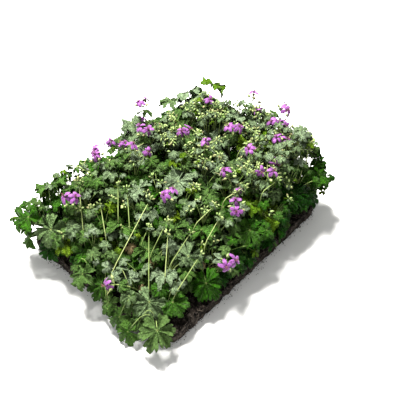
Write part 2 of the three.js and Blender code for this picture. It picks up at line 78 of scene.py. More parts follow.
pose = {"tiltOutward": 0.3, "tiltVary": (-0.22, 0.3), "sideTilt": 0.35, "turnVary": 0.5}
clear = {"leastHeight": 20, "aboveSoil": 6}
yielding = {"tries": 120, "turn": 3, "reach": 0.4, "size": 0.28, "tilt": 0.6}
flowerStem = {"steps": 3, "rootDepth": 11, "rootOffset": 15, "turnVary": 0.6,
              "overCanopy": (4, 14), "wander": (3, 30), "wanderLift": 0.3, "collar": 5,
              "bractDrop": 13, "pairShare": 0.6, "tries": 60}
headPlaces = [
    (-195, 100), (-90, 142), (-40, 122), (-15, 68), (34, 122), (70, 170), (85, 70), (82, 10),
    (135, 0), (183, 88), (182, -22), (255, 12), (260, -50), (200, -104), (148, -80), (115, -132),
    (56, -88), (20, -136), (-27, -136), (-75, -188), (-250, -65), (-58, -22),
]
headRoom = {"above": 8, "radius": 26, "deep": 10}
bractRoom = {"radius": 21, "deep": 3}
gap = {"blade": 5, "head": 2, "edge": 1.5, "stalk": 2.8}
stalkLean = {"leaf": 0.42, "flowerStem": 0.3, "side": 0.35, "kneeHeight": 0.72}
stalkSteps = {"leaf": 9, "flowerStem": 14, "shoot": 7, "filling": 5}
parallel = {"slope": 0.08, "stretch": 1e-9}
goldenAngle = math.radians(137.50776)


def smooth(t):
    u = min(1, max(0, t))
    return u * u * (3 - 2 * u)


def makeDice(start):
    state = [start]

    def roll(low=0, high=1):
        state[0] = (state[0] * 1664525 + 1013904223) % 4294967296
        return low + ((high - low) * state[0]) / 4294967296

    return roll


def add(a, b, k=1):
    return (a[0] + b[0] * k, a[1] + b[1] * k, a[2] + b[2] * k)


def dot(a, b):
    return a[0] * b[0] + a[1] * b[1] + a[2] * b[2]


def cross(a, b):
    return (a[1] * b[2] - a[2] * b[1], a[2] * b[0] - a[0] * b[2], a[0] * b[1] - a[1] * b[0])


def size(a):
    return math.sqrt(dot(a, a))


def unit(a):
    return add((0, 0, 0), a, 1 / size(a))


def soilRelief(x, y):
    share, lengthX, lengthY, shift = relief["broad"]
    broad = share * math.sin(x / lengthX + shift) * math.cos(y / lengthY)
    share, lengthX, lengthY = relief["fine"]
    fine = share * math.sin(x / lengthX + y / lengthY)
    share, lengthX, lengthY = relief["ridges"]
    ridges = share * math.cos(x / lengthX - y / lengthY)
    return relief["height"] * (broad + fine + ridges)


def groundAt(x, y):
    return slab["depth"] + soilRelief(x, y)


def canopyHeight(x, y):
    fromCorner = math.hypot(x + slab["length"] / 2, y + slab["width"] / 2)
    inside = min(slab["length"] / 2 + x, slab["width"] / 2 + y)
    height = (canopy["front"] + canopy["rise"] * smooth(fromCorner / canopy["riseLength"])
              + canopy["backRise"] * smooth((fromCorner - canopy["riseLength"]) / canopy["backLength"]))
    return height * (1 - canopy["edgeDrop"] * (1 - smooth(inside / canopy["dropLength"])))


def overSlab(x, y):
    return (x > -slab["length"] / 2 - reachPast["left"] and x < slab["length"] / 2 + reachPast["back"]
            and y > -slab["width"] / 2 - reachPast["front"] and y < slab["width"] / 2 + reachPast["back"])


# What has grown already: round blades, and stalks with the box that each lies in.
grown = {"blades": [], "stalks": []}


def boxOf(points):
    xs, ys, zs = zip(*points)
    return (min(xs), max(xs), min(ys), max(ys), min(zs), max(zs))


def boxesApart(a, b, room):
    return (a[0] > b[1] + room or b[0] > a[1] + room or a[2] > b[3] + room
            or b[2] > a[3] + room or a[4] > b[5] + room or b[4] > a[5] + room)


def disc(middle, normal, radius, deep=0):
    return {"middle": middle, "normal": normal, "radius": radius, "deep": deep}


def bladesTouch(a, b, least):
    room = least + a["deep"] + b["deep"]
    beside = gap["edge"] + a["deep"] + b["deep"]
    apart = add(a["middle"], b["middle"], -1)
    if size(apart) > a["radius"] + b["radius"] + beside:
        return False
    lean = dot(a["normal"], b["normal"])
    slope = math.sqrt(max(0, 1 - lean * lean))
    aOverB = dot(apart, b["normal"])
    bOverA = -dot(apart, a["normal"])
    if abs(aOverB) > a["radius"] * slope + room:
        return False
    if abs(bOverA) > b["radius"] * slope + room:
        return False
    if slope < parallel["slope"]:
        return True
    # both cross the line where their planes meet: compare the stretches that they cover on it
    line = unit(cross(a["normal"], b["normal"]))
    toLineA = bOverA / slope
    toLineB = aOverB / slope
    halfA = math.sqrt(max(0, a["radius"] * a["radius"] - toLineA * toLineA))
    halfB = math.sqrt(max(0, b["radius"] * b["radius"] - toLineB * toLineB))
    return abs(dot(apart, line)) < halfA + halfB + beside


def stalkMeetsBlade(stalk, stalkBox, blade, least):
    room = least + blade["deep"]
    middle = blade["middle"]
    far = blade["radius"] + 2 * room
    if (middle[0] + far < stalkBox[0] or middle[0] - far > stalkBox[1]
            or middle[1] + far < stalkBox[2] or middle[1] - far > stalkBox[3]
            or middle[2] + far < stalkBox[4] or middle[2] - far > stalkBox[5]):
        return False
    normal = blade["normal"]
    for i in range(1, len(stalk)):
        p = add(stalk[i - 1], middle, -1)
        q = add(stalk[i], middle, -1)
        hp = dot(p, normal)
        hq = dot(q, normal)
        if (hp > room and hq > room) or (hp < -room and hq < -room):
            continue
        t = min(1, max(0, 0.5 if hp == hq else hp / (hp - hq)))
        at = add(p, add(q, p, -1), t)
        height = dot(at, normal)
        if size(add(at, normal, -height)) < blade["radius"] + room:
            return True
    return False


def stretchGap(p, q, r, s):
    d1 = add(q, p, -1)
    d2 = add(s, r, -1)
    w = add(p, r, -1)
    a = dot(d1, d1)
    b = dot(d1, d2)
    c = dot(d2, d2)
    d = dot(d1, w)
    e = dot(d2, w)
    det = a * c - b * b
    t = 0 if det < parallel["stretch"] else min(1, max(0, (b * e - c * d) / det))
    u = min(1, max(0, (b * t + e) / c))
    t = min(1, max(0, (b * u - d) / a))
    return size(add(add(w, d1, t), d2, -u))


def stalksTouch(a, b, room):
    for i in range(1, len(a)):
        for j in range(1, len(b)):
            if stretchGap(a[i - 1], a[i], b[j - 1], b[j]) < room:
                return True
    return False


def hasRoom(blades, stalk, plant, bladeRoom, stalkRoom=gap["stalk"]):
    ownBox = boxOf(stalk)
    for old in grown["blades"]:
        if stalkMeetsBlade(stalk, ownBox, old, stalkRoom):
            return False
        for blade in blades:
            if bladesTouch(blade, old, bladeRoom):
                return False
    for old in grown["stalks"]:
        if (old["plant"] != plant and not boxesApart(ownBox, old["box"], stalkRoom)
                and stalksTouch(stalk, old["path"], stalkRoom)):
            return False
        for blade in blades:
            if stalkMeetsBlade(old["path"], old["box"], blade, stalkRoom):
                return False
    return True


def keep(blades, path, plant):
    grown["blades"].extend(blades)
    grown["stalks"].append({"plant": plant, "path": path, "box": boxOf(path)})


def plantPlaces():
    roll = makeDice(planting["seed"])
    places = []
    for row in range(planting["rows"]):
        for column in range(planting["columns"]):
            x = (column - (planting["columns"] - 1) / 2) * planting["spacingX"]
            y = (row - (planting["rows"] - 1) / 2) * planting["spacingY"]
            shiftX = roll(-planting["jitter"], planting["jitter"])
            shiftY = roll(-planting["jitter"], planting["jitter"])
            places.append((x + shiftX, y + shiftY))
    return places


def bend(root, end, lean, steps):
    knee = (root[0] + (end[0] - root[0]) * lean, root[1] + (end[1] - root[1]) * lean,
            root[2] + (end[2] - root[2]) * stalkLean["kneeHeight"])
    points = []
    for i in range(steps + 1):
        t = i / steps
        s = 1 - t
        points.append(tuple(s * s * root[k] + 2 * s * t * knee[k] + t * t * end[k] for k in range(3)))
    return points


def leaning(axis, lean, turn):
    side = unit(cross(axis, (1, 0, 0)))
    ahead = cross(side, axis)
    out = add(add((0, 0, 0), ahead, math.cos(turn)), side, math.sin(turn))
    return add(add((0, 0, 0), axis, math.cos(lean)), out, math.sin(lean))


def nearestPlant(x, y, places):
    return min(range(len(places)), key=lambda i: math.hypot(places[i][0] - x, places[i][1] - y))


def flowerStemPlan(headPlace, places, roll):
    plant = nearestPlant(headPlace[0], headPlace[1], places)
    px, py = places[plant]
    least, most = flowerStem["wander"]
    for tried in range(flowerStem["tries"]):
        wander = least + (most - least) * (tried / flowerStem["tries"])
        tip = (headPlace[0] + roll(-wander, wander), headPlace[1] + roll(-wander, wander))
        turned = roll(-flowerStem["turnVary"], flowerStem["turnVary"])
        angle = math.atan2(tip[1] - py, tip[0] - px) + turned
        over = roll(*flowerStem["overCanopy"]) + wander * flowerStem["wanderLift"]
        turn = roll(0, turnOnce)
        flowerCount = 2 if roll() < flowerStem["pairShare"] else 1
        footX = px + flowerStem["rootOffset"] * math.cos(angle)
        footY = py + flowerStem["rootOffset"] * math.sin(angle)
        ground = groundAt(footX, footY)
        root = (footX, footY, ground + flowerStem["collar"])
        head = (tip[0], tip[1], slab["depth"] + canopyHeight(tip[0], tip[1]) + over)
        rise = bend(root, head, stalkLean["flowerStem"], flowerStem["steps"])
        axis = unit(add(head, rise[flowerStem["steps"] - 1], -1))
        bracts = add(head, axis, -flowerStem["bractDrop"])
        top = disc(add(head, axis, headRoom["above"]), axis, headRoom["radius"], headRoom["deep"])
        under = disc(bracts, axis, bractRoom["radius"], bractRoom["deep"])
        if not hasRoom([top, under], rise, plant, gap["head"]):
            continue
        keep([top, under], rise, -1 - len(grown["stalks"]))
        return {"foot": (footX, footY, ground - flowerStem["rootDepth"]), "root": root, "head": head,
                "axis": axis, "bracts": bracts, "turn": turn, "flowerCount": flowerCount, "plant": plant}
    return None


def leafPlan(place, plant, index, kind, roll):
    px, py = place
    for tried in range(yielding["tries"]):
        ease = tried / yielding["tries"]
        turned = roll(-1, 1) * (pose["turnVary"] + yielding["turn"] * ease)
        angle = index * goldenAngle + plant + kind["turn"] + turned
        out = (math.cos(angle), math.sin(angle), 0)
        share = (roll(spread["lowLeast"], 1) if kind["low"]
                 else math.sqrt((index + spread["first"]) / kind["perPlant"]))
        reach = spread["reach"] * share * roll(*spread["vary"]) * (1 - yielding["reach"] * ease)
        level = roll(*kind["level"]) - kind["levelFall"] * share
        radius = roll(*leaf["radius"]) * kind["size"] * (1 - yielding["size"] * ease)
        lean = roll(*pose["tiltVary"]) + kind["tilt"] + pose["tiltOutward"] * share
        tilt = lean * (1 - yielding["tilt"] * ease)
        side = roll(-pose["sideTilt"], pose["sideTilt"])
        x = px + out[0] * reach
        y = py + out[1] * reach
        if not overSlab(x, y):
            continue
        height = max(clear["leastHeight"], canopyHeight(x, y) * level)
        middle = (x, y, slab["depth"] + height)
        normal = unit((out[0] * tilt - out[1] * side, out[1] * tilt + out[0] * side, 1))
        rootHeight = stock["headHeight"] * kind["rootShare"]
        rootOut = stock["headRadius"] / 2
        root = (px + out[0] * rootOut, py + out[1] * rootOut, groundAt(px, py) + rootHeight)
        seat = add(middle, normal, -leaf["halfThickness"])
        stalk = bend(root, seat, stalkLean["leaf"], 2)
        mean = add(middle, normal, -leaf["meanDroop"] * leaf["droop"] * radius)
        lowest = mean[2] - radius * math.sqrt(1 - normal[2] * normal[2])
        if lowest < slab["depth"] + clear["aboveSoil"]:
            continue
        below = stalk[:-1] + [add(middle, normal, -gap["blade"])]
        blade = disc(mean, normal, radius)
        if not hasRoom([blade], below, plant, gap["blade"]):
            continue
        keep([blade], stalk, plant)
        return {"plant": plant, "middle": middle, "normal": normal, "radius": radius, "out": out,
                "root": root, "level": level}
    return None


def growAll(places):
    roll = makeDice(leaf["seed"])
    stems = [flowerStemPlan(headPlace, places, roll) for headPlace in headPlaces]
    leaves = []
    for kind in (highLeaves, lowLeaves):
        for index in range(kind["perPlant"]):
            for plant, place in enumerate(places):
                leaves.append(leafPlan(place, plant, index, kind, roll))
    return [s for s in stems if s], [one for one in leaves if one]


places = plantPlaces()
stems, leaves = growAll(places)
print("grown:", len(stems), "flower stems,", len(leaves), "leaves")


# Later growth is fitted into the room that is left. All that has grown is kept in arrays for it.
boxLow = np.array(cadBox[0]) / mm
boxHigh = np.array(cadBox[1]) / mm
room = {"blade": 0.8, "edge": 0.4, "stalk": 0.3, "lobedShare": 0.8, "box": 1.0, "boxHeight": 0.6,
        "shrink": 0.97}
takenBlades = np.zeros((6000, 7))  # middle, normal, radius
takenStretches = np.zeros((20000, 10))  # start, end, centre, half the length
taken = {"blades": 0, "stretches": 0}


def takeBlade(middle, normal, radius):
    takenBlades[taken["blades"]] = (*middle, *normal, radius)
    taken["blades"] += 1


def takeStalk(path):
    for start, end in zip(path[:-1], path[1:]):
        centre = [(a + b) / 2 for a, b in zip(start, end)]
        takenStretches[taken["stretches"]] = (*start, *end, *centre, math.dist(start, end) / 2)
        taken["stretches"] += 1


def bladeIsFree(middle, normal, radius):
    old = takenBlades[:taken["blades"]]
    away = old[:, :3] - middle
    old = old[np.einsum("ij,ij->i", away, away) < (radius + old[:, 6] + room["edge"]) ** 2]
    if not len(old):
        return True
    apart = middle - old[:, :3]
    lean = old[:, 3:6] @ normal
    slope = np.sqrt(np.maximum(1e-9, 1 - lean * lean))
    overOld = np.einsum("ij,ij->i", apart, old[:, 3:6])
    overNew = -(apart @ normal)
    near = ((np.abs(overOld) < radius * slope + room["blade"])
            & (np.abs(overNew) < old[:, 6] * slope + room["blade"]))
    line = np.cross(normal, old[:, 3:6]) / slope[:, None]
    halfNew = np.sqrt(np.maximum(0, radius ** 2 - (overNew / slope) ** 2))
    halfOld = np.sqrt(np.maximum(0, old[:, 6] ** 2 - (overOld / slope) ** 2))
    meets = np.abs(np.einsum("ij,ij->i", apart, line)) < halfNew + halfOld + room["edge"]
    return not (near & (meets | (slope < parallel["slope"]))).any()


def crosses(p, q, middle, normal, radius, least):
    hp = ((p - middle) * normal).sum(axis=-1)
    hq = ((q - middle) * normal).sum(axis=-1)
    passes = ~((hp > least) & (hq > least)) & ~((hp < -least) & (hq < -least))
    t = np.clip(hp / np.where(hp == hq, 1, hp - hq), 0, 1)[..., None]
    at = p + (q - p) * t - middle
    flat = at - normal * np.sum(at * normal, axis=-1)[..., None]
    return bool((passes & (np.linalg.norm(flat, axis=-1) < radius + least)).any())


def stalkIsFree(path):
    path = np.array(path)
    middle = (path.min(axis=0) + path.max(axis=0)) / 2
    reach = np.linalg.norm(path - middle, axis=1).max() + room["stalk"]
    old = takenBlades[:taken["blades"]]
    old = old[np.einsum("ij,ij->i", old[:, :3] - middle, old[:, :3] - middle) < (old[:, 6] + reach) ** 2]
    return not crosses(path[:-1, None], path[1:, None], old[None, :, :3], old[None, :, 3:6],
                       old[None, :, 6], room["stalk"])


def clearOfStalks(middle, normal, radius):
    old = takenStretches[:taken["stretches"]]
    away = old[:, 6:9] - middle
    old = old[np.einsum("ij,ij->i", away, away) < (old[:, 9] + radius + room["stalk"]) ** 2]
    return not crosses(old[:, :3], old[:, 3:6], middle, normal, radius, room["stalk"])


def insideBox(middle, radius, height):
    reach = np.array((radius, radius, height)) + room["box"]
    return bool((boxLow + reach < middle).all() and (middle < boxHigh - reach).all())


def vec(a):
    return np.array(a, float)


def normed(a):
    return a / np.linalg.norm(a)


def evenSteps(steps):
    return np.linspace(0, 1, steps + 1)[:, None]


def bow(start, knee, end, t):
    return (1 - t) ** 2 * start + 2 * (1 - t) * t * knee + t ** 2 * end


def curve(root, end, lean, steps):
    root, end = vec(root), vec(end)
    knee = vec((root[0] + (end[0] - root[0]) * lean, root[1] + (end[1] - root[1]) * lean,
                root[2] + (end[2] - root[2]) * stalkLean["kneeHeight"]))
    return bow(root, knee, end, evenSteps(steps))


# The way that a blade faces away from where its stalk starts.
def outward(middle, start):
    return normed(vec((middle[0] - start[0] + 0.01, middle[1] - start[1], 0)))


# Later growth starts from points on the stalks and stems, at the least cost in way and in rise.
branching = {"onLeaf": slice(2, 8), "onStem": slice(3, 12), "bladeDroop": 0.05, "headLift": 4,
             "headRadius": 15, "bractRadius": 14, "crownHeight": 9, "below": 10, "rise": 35, "riseCost": 0.3}
branchPoints = []
for one in leaves:
    takeBlade(add(one["middle"], one["normal"], -branching["bladeDroop"] * one["radius"]), one["normal"],
              one["radius"] * room["lobedShare"])
    path = curve(one["root"], one["middle"], stalkLean["leaf"], stalkSteps["leaf"])
    takeStalk(path[1:-1:2])
    branchPoints.extend(path[branching["onLeaf"]])
for plan in stems:
    path = curve(plan["root"], plan["head"], stalkLean["flowerStem"], stalkSteps["flowerStem"])
    takeStalk(path[::2])
    branchPoints.extend(path[branching["onStem"]])
    takeBlade(add(plan["head"], plan["axis"], branching["headLift"]), plan["axis"], branching["headRadius"])
    takeBlade(plan["bracts"], plan["axis"], branching["bractRadius"])
branchPoints.extend((x, y, groundAt(x, y) + branching["crownHeight"]) for x, y in places)
branchPoints = np.array(branchPoints)


def branchPoint(tip, reach):
    below = branchPoints[branchPoints[:, 2] < tip[2] - branching["below"]]
    if not len(below):
        return None
    flat = np.hypot(below[:, 0] - tip[0], below[:, 1] - tip[1])
    cost = flat + branching["riseCost"] * np.abs(tip[2] - below[:, 2] - branching["rise"])
    best = int(np.argmin(cost))
    return below[best] if cost[best] < reach else None


# Long bare stems that lean out over the leaves: x y z where each leaves them, then x y z of its tip.
longStems = [
    ((-200, -108, 97), (-138, -50, 153)), ((-214, -38, 110), (-97, -13, 172)),
    ((-175, -126, 101), (-124, -86, 146)), ((-144, -115, 112), (-94, -115, 150)),
    ((-172, -156, 89), (-109, -153, 129)), ((-157, -75, 119), (-107, -66, 156)),
    ((-151, 21, 150), (-116, 55, 178)), ((-147, -5, 143), (-110, 36, 175)),
    ((-58, -101, 142), (-20, -111, 167)), ((16, -111, 160), (47, -129, 180)),
    ((-71, -138, 130), (-32, -134, 158)), ((154, -138, 168), (190, -139, 180)),
    ((-194, 13, 140), (-170, 48, 171)), ((134, -50, 172), (170, -58, 186)),
    ((-220, 70, 118), (-176, 122, 178)), ((84, -147, 157), (118, -152, 162)),
]
towardsCamera = normed(vec((-0.49, -0.45, 0.745)))
bareStem = {"open": 70, "steps": 6, "rootSteps": 4, "rootOut": 0.35, "rootDepth": 3, "headLift": 3,
            "room": 7, "tries": 50, "wander": (14, 14, 8), "hitCost": 2.5, "worst": 4, "seed": 39}


def openings(path):
    return [[at, at + towardsCamera * bareStem["open"]] for at in path]


def growBareStems():
    rand = random.Random(bareStem["seed"])
    found = []
    for spot in longStems:
        best = None
        for tried in range(bareStem["tries"]):
            share = tried / bareStem["tries"]
            shift = np.array([rand.uniform(-w, w) * share for w in bareStem["wander"]])
            low, tip = vec(spot[0]) + shift, vec(spot[1]) + shift
            shown = low + (tip - low) * evenSteps(bareStem["steps"])
            axis = normed(tip - low)
            head = tip + axis * bareStem["headLift"]
            cost = sum(not stalkIsFree(pair) for pair in openings(shown))
            cost += bareStem["hitCost"] * (not stalkIsFree(shown))
            cost += bareStem["hitCost"] * (not bladeIsFree(head, axis, bareStem["room"]))
            if best is None or cost < best[0]:
                best = (cost, low, tip, axis, head, shown)
            if cost == 0:
                break
        cost, low, tip, axis, head, shown = best
        if cost > bareStem["worst"]:
            continue
        knee = low - (tip - low) * bareStem["rootOut"]
        foot = vec((knee[0], knee[1], groundAt(knee[0], knee[1]) - bareStem["rootDepth"]))
        path = np.vstack([bow(foot, knee, low, evenSteps(bareStem["rootSteps"])[:-1]), shown])
        takeStalk(path[1:])
        for pair in openings(shown):
            takeStalk(pair)
        takeBlade(head, axis, bareStem["room"])
        found.append({"path": path, "tip": tip, "axis": axis})
    return found


barePlans = growBareStems()

# Withered leaves lie lower down where the growth is open.
withered = {"spots": [(-172, -31, 112), (-212, -101, 76), (-165, -76, 95), (-105, -141, 92), (60, -150, 62),
                      (-28, -172, 58), (-200, 60, 54)],
            "tries": 60, "wander": (26, 26, 13), "lean": (-0.7, 0.2), "radius": (9, 16), "reach": 90,
            "open": 60, "seed": 61, "tone": (0, 1), "sag": (0.5, 0.9), "stalk": (0.8, 0.6)}


def growWithered():
    rand = random.Random(withered["seed"])
    found = []
    for spot in withered["spots"]:
        for tried in range(withered["tries"]):
            wander = [w * tried / withered["tries"] for w in withered["wander"]]
            middle = np.array([c + rand.uniform(-w, w) for c, w in zip(spot, wander)])
            lean = (rand.uniform(*withered["lean"]), rand.uniform(*withered["lean"]))
            normal = normed(vec((*lean, 1)))
            radius = rand.uniform(*withered["radius"])
            covered = radius * room["lobedShare"]
            start = branchPoint(middle, withered["reach"])
            opening = [middle + normal, middle + towardsCamera * withered["open"]]
            if start is None or not (bladeIsFree(middle, normal, covered) and stalkIsFree(opening)
                                     and clearOfStalks(middle, normal, covered)):
                continue
            takeBlade(middle, normal, covered)
            takeStalk(opening)
            found.append({"middle": middle, "normal": normal, "radius": radius,
                          "out": outward(middle, start), "root": start})
            break
    return found


witheredLeaves = growWithered()
print("bare stems:", len(barePlans), "withered leaves:", len(witheredLeaves))

# Further flowers open at these places.
flowerSpots = [
    (-79, 163, 170), (-38, 158, 174), (-29, 126, 182), (-14, 77, 182), (80, 186, 156), (235, -19, 194),
    (236, -59, 194), (238, -80, 190), (149, -123, 178), (105, -122, 174), (34, -123, 170),
]
shootKinds = {
    "flower": {"tries": 60, "wander": (1, 18), "room": 9, "reach": 120, "seed": 40, "buds": (2, 4),
               "fromBox": 21},
    "bud": {"count": 70, "tries": 7, "over": (-20, 6), "room": 6, "reach": 80, "seed": 41, "buds": (3, 6),
            "x": (-255, 280), "y": (-190, 220), "least": (70, 190), "fromBox": 16},
    "farBud": {"count": 165, "tries": 7, "over": (-8, 12), "room": 5, "reach": 100, "seed": 42,
               "buds": (3, 6), "x": (40, 282), "y": (-180, 130), "least": (110, 160), "fromBox": 16},
}
shooting = {"draws": 6, "shift": 9, "underCeiling": 8, "steps": 4, "headLift": 3, "oneFlower": (0, 235)}
# "inside" counts inwards from the slab's edge, on its sides f front, r right, l left and b back.
fillKinds = {
    "leftEnd": {"count": 110, "radius": (8, 15), "level": (0.4, 1.12), "tilt": (0.0, 0.4), "reach": 120,
                "x": (-286, -130), "y": (150, 224), "seed": 58},
    "crest": {"count": 260, "radius": (9, 19), "level": (0.8, 1.16), "tilt": (0.0, 0.4), "reach": 120,
              "x": (188, 284), "y": (-160, 150), "seed": 56},
    "corner": {"count": 150, "radius": (10, 20), "level": (0.55, 1.2), "tilt": (0.0, 0.6), "reach": 120,
               "x": (150, 283), "y": (-212, -104), "seed": 57},
    "rim": {"count": 560, "radius": (10, 22), "level": (0.3, 1.04), "tilt": (0.0, 0.5), "reach": 110,
            "inside": (-32, 50), "sides": "lb", "seed": 54},
    "skirt": {"count": 240, "radius": (14, 27), "level": (0.16, 0.95), "tilt": (0.25, 1.0), "reach": 80,
              "inside": (-10, 34), "sides": "fffrrrrlb", "seed": 51},
    "canopy": {"count": 1040, "radius": (10, 22), "level": (0.6, 1.03), "tilt": (0.05, 0.75), "reach": 75,
               "x": (-258, 280), "y": (-197, 225), "clumped": True, "seed": 52},
    "shade": {"count": 200, "radius": (15, 27), "level": (0.28, 0.7), "tilt": (0.0, 0.5), "reach": 80,
              "x": (-258, 280), "y": (-197, 225), "seed": 53},
}
filling = {"draws": 7, "tries": 7, "shrink": 0.05, "shift": 10, "least": 13, "turnVary": 0.9,
           "underCeiling": 0.7, "aboveSoil": 2, "overhang": 0.4, "seat": 0.2, "under": 3}
# Leaves placed one by one along the edges: place, radius, and the way that each faces.
edgeLeaves = [
    ((-276, -124, 31), 29, (-0.75, -0.25, 0.6)), ((-268, -94, 42), 26, (-0.6, -0.1, 0.8)),
    ((-262, -60, 50), 24, (-0.6, 0.1, 0.8)), ((-266, 176, 55), 26, (-0.7, 0.2, 0.7)),
    ((-246, 206, 104), 24, (-0.3, 0.3, 0.9)), ((-232, 196, 122), 22, (-0.2, 0.2, 1)),
    ((212, -206, 128), 20, (0.2, -0.5, 0.9)), ((-250, -132, 52), 24, (-0.6, -0.4, 0.8)),
    ((-214, -150, 66), 27, (-0.3, -0.6, 0.9)), ((-100, -182, 78), 25, (-0.2, -0.6, 0.9)),
    ((-170, -168, 62), 26, (-0.2, -0.6, 0.9)), ((-247, 42, 68), 24, (-0.4, 0.1, 0.9)),
    ((-236, -100, 80), 26, (-0.3, -0.2, 1)), ((-190, -130, 92), 25, (-0.3, -0.3, 1)),
    ((-276, -74, 52), 19, (-0.5, 0.0, 0.9)), ((-279, -100, 54), 16, (-0.5, -0.2, 0.8)),
    ((268, -198, 88), 18, (0.3, -0.3, 0.9)), ((236, -202, 112), 18, (0.2, -0.5, 0.9)),
]
edging = {"wander": (9, 9, 8), "tries": 90, "shrink": 0.004, "reach": 140, "arch": 34, "low": 70,
          "level": 0.8, "seed": 55}

clumps = {"length": 40, "slice": 3.7, "rise": 0.15, "bare": -0.58}
farCorner = {"drop": 0.26, "x": (50, 190), "y": (80, 200)}
farSide = {"drop": 0.16, "y": (110, 190)}
# How high growth reaches at the back edge, in waves, and at the far end, which falls towards both sides.
ceiling = {"backEdge": 205, "backHeight": 128, "backSlope": 1.15, "wave": 24, "wavePeak": 60,
           "waveLength": 210, "endEdge": 262, "endHeight": 191, "endSlope": 1.0, "endFallFrom": 15,
           "endFall": 0.4, "cornerFallFrom": -135, "cornerFall": 1.4, "least": 116}
bareSoil = {"cornerX": -188, "cornerY": -122, "stripX": -70, "stripY": -152, "sideX": -218,
            "sideHeight": 95}


# The soil is left showing at the front corner and along the two front edges.
def overBareSoil(x, y, z):
    return ((x < bareSoil["cornerX"] and y < bareSoil["cornerY"])
            or (x < bareSoil["stripX"] and y < bareSoil["stripY"])
            or (x < bareSoil["sideX"] and z < bareSoil["sideHeight"]))


def clumpAt(x, y):
    return noise.noise(Vector((x / clumps["length"], y / clumps["length"], clumps["slice"])))


def between(value, start, end):
    return smooth((value - start) / (end - start))


def fillHeight(x, y):
    far = between(x, *farCorner["x"]) * between(y, *farCorner["y"])
    side = between(y, *farSide["y"])
    return (canopyHeight(x, y) * (1 + clumps["rise"] * clumpAt(x, y)) * (1 - farCorner["drop"] * far)
            * (1 - farSide["drop"] * side))


def ceilingAt(x, y):
    wave = ceiling["wave"] * math.cos((x - ceiling["wavePeak"]) / ceiling["waveLength"] * turnOnce)
    back = ceiling["backHeight"] + wave + (ceiling["backEdge"] - y) * ceiling["backSlope"]
    height = ceiling["endHeight"]
    height -= max(0, y - ceiling["endFallFrom"]) * ceiling["endFall"]
    height -= max(0, ceiling["cornerFallFrom"] - y) * ceiling["cornerFall"]
    return min(back, max(ceiling["least"], height) + (ceiling["endEdge"] - x) * ceiling["endSlope"])


def growShoots():
    found = []
    low, high = shooting["oneFlower"]
    shift = shooting["shift"]
    kind = shootKinds["flower"]
    rand = random.Random(kind["seed"])
    for spot in flowerSpots:
        for tried in range(kind["tries"]):
            wander = kind["wander"][0] + kind["wander"][1] * tried / kind["tries"]
            tip = np.array([c + rand.uniform(-wander, wander) for c in spot])
            plan = shootPlan(tip, kind)
            if plan:
                flowers = 1 if low <= spot[0] <= high else 2
                found.append(dict(plan, flowers=flowers, buds=rand.randint(*kind["buds"])))
                break
    for kind in (shootKinds["bud"], shootKinds["farBud"]):
        rand = random.Random(kind["seed"])
        wanted = len(found) + kind["count"]
        for _ in range(kind["count"] * shooting["draws"]):
            if len(found) == wanted:
                break
            x, y = rand.uniform(*kind["x"]), rand.uniform(*kind["y"])
            height = fillHeight(x, y)
            if rand.uniform(*kind["least"]) > height or clumpAt(x, y) < clumps["bare"]:
                continue
            for _ in range(kind["tries"]):
                tip = vec((x + rand.uniform(-shift, shift), y + rand.uniform(-shift, shift),
                           slab["depth"] + height + rand.uniform(*kind["over"])))
                if tip[2] + shooting["underCeiling"] > ceilingAt(tip[0], tip[1]):
                    continue
                plan = shootPlan(tip, kind)
                if plan:
                    found.append(dict(plan, flowers=0, buds=rand.randint(*kind["buds"])))
                    break
    return found


def shootPlan(tip, kind):
    start = branchPoint(tip, kind["reach"])
    if start is None or not insideBox(tip, kind["fromBox"], kind["fromBox"]):
        return None
    path = curve(start, tip, stalkLean["side"], shooting["steps"])
    axis = normed(path[-1] - path[-2])
    middle = tip + axis * shooting["headLift"]
    if not (bladeIsFree(middle, axis, kind["room"]) and stalkIsFree(path[1:])
            and clearOfStalks(middle, axis, kind["room"])):
        return None
    takeBlade(middle, axis, kind["room"])
    takeStalk(path)
    return {"start": start, "tip": tip, "axis": axis}


# A place for a leaf and, along the edges, the way that it faces.
def fillSpot(kind, rand):
    if "x" in kind:
        return (rand.uniform(*kind["x"]), rand.uniform(*kind["y"]), None)
    halfX, halfY = slab["length"] / 2, slab["width"] / 2
    inside = rand.uniform(*kind["inside"])
    along = rand.uniform(-1, 1)
    side = rand.choice(kind["sides"])
    if side == "f":
        return (-halfX + inside, along * halfY, math.pi)
    if side == "r":
        return (along * halfX, -halfY + inside, -math.pi / 2)
    if side == "l":
        return (along * halfX, halfY - inside, math.pi / 2)
    return (halfX - inside, along * halfY, 0)


# A leaf is kept where its blade and its stalk both find room. An arch lifts the stalk over the edge.
def leafIfFree(middle, normal, radius, reach, level, arch=0):
    covered = radius * room["lobedShare"]
    if not (bladeIsFree(middle, normal, covered) and clearOfStalks(middle, normal, covered)):
        return None
    start = branchPoint(middle + vec((0, 0, arch)), reach)
    if start is None:
        return None
    path = curve(start, middle - normal * filling["seat"], stalkLean["side"], stalkSteps["filling"])
    path[:, 2] += arch * np.sin(np.linspace(0, math.pi, len(path)))
    if not stalkIsFree(list(path[1:-1]) + [middle - normal * filling["under"]]):
        return None
    takeBlade(middle, normal, covered)
    takeStalk(path)
    return {"middle": middle, "normal": normal, "radius": radius, "out": outward(middle, start),
            "path": path, "level": level}


def growEdge():
    rand = random.Random(edging["seed"])
    found = []
    for spot, radius, normal in edgeLeaves:
        for tried in range(edging["tries"]):
            wander = [w * tried / edging["tries"] for w in edging["wander"]]
            middle = np.array([c + rand.uniform(-w, w) for c, w in zip(spot, wander)])
            arch = edging["arch"] if spot[2] < edging["low"] else 0
            one = leafIfFree(middle, normed(vec(normal)), radius * (1 - edging["shrink"] * tried),
                             edging["reach"], edging["level"], arch)
            if one:
                found.append(one)
                break
    return found


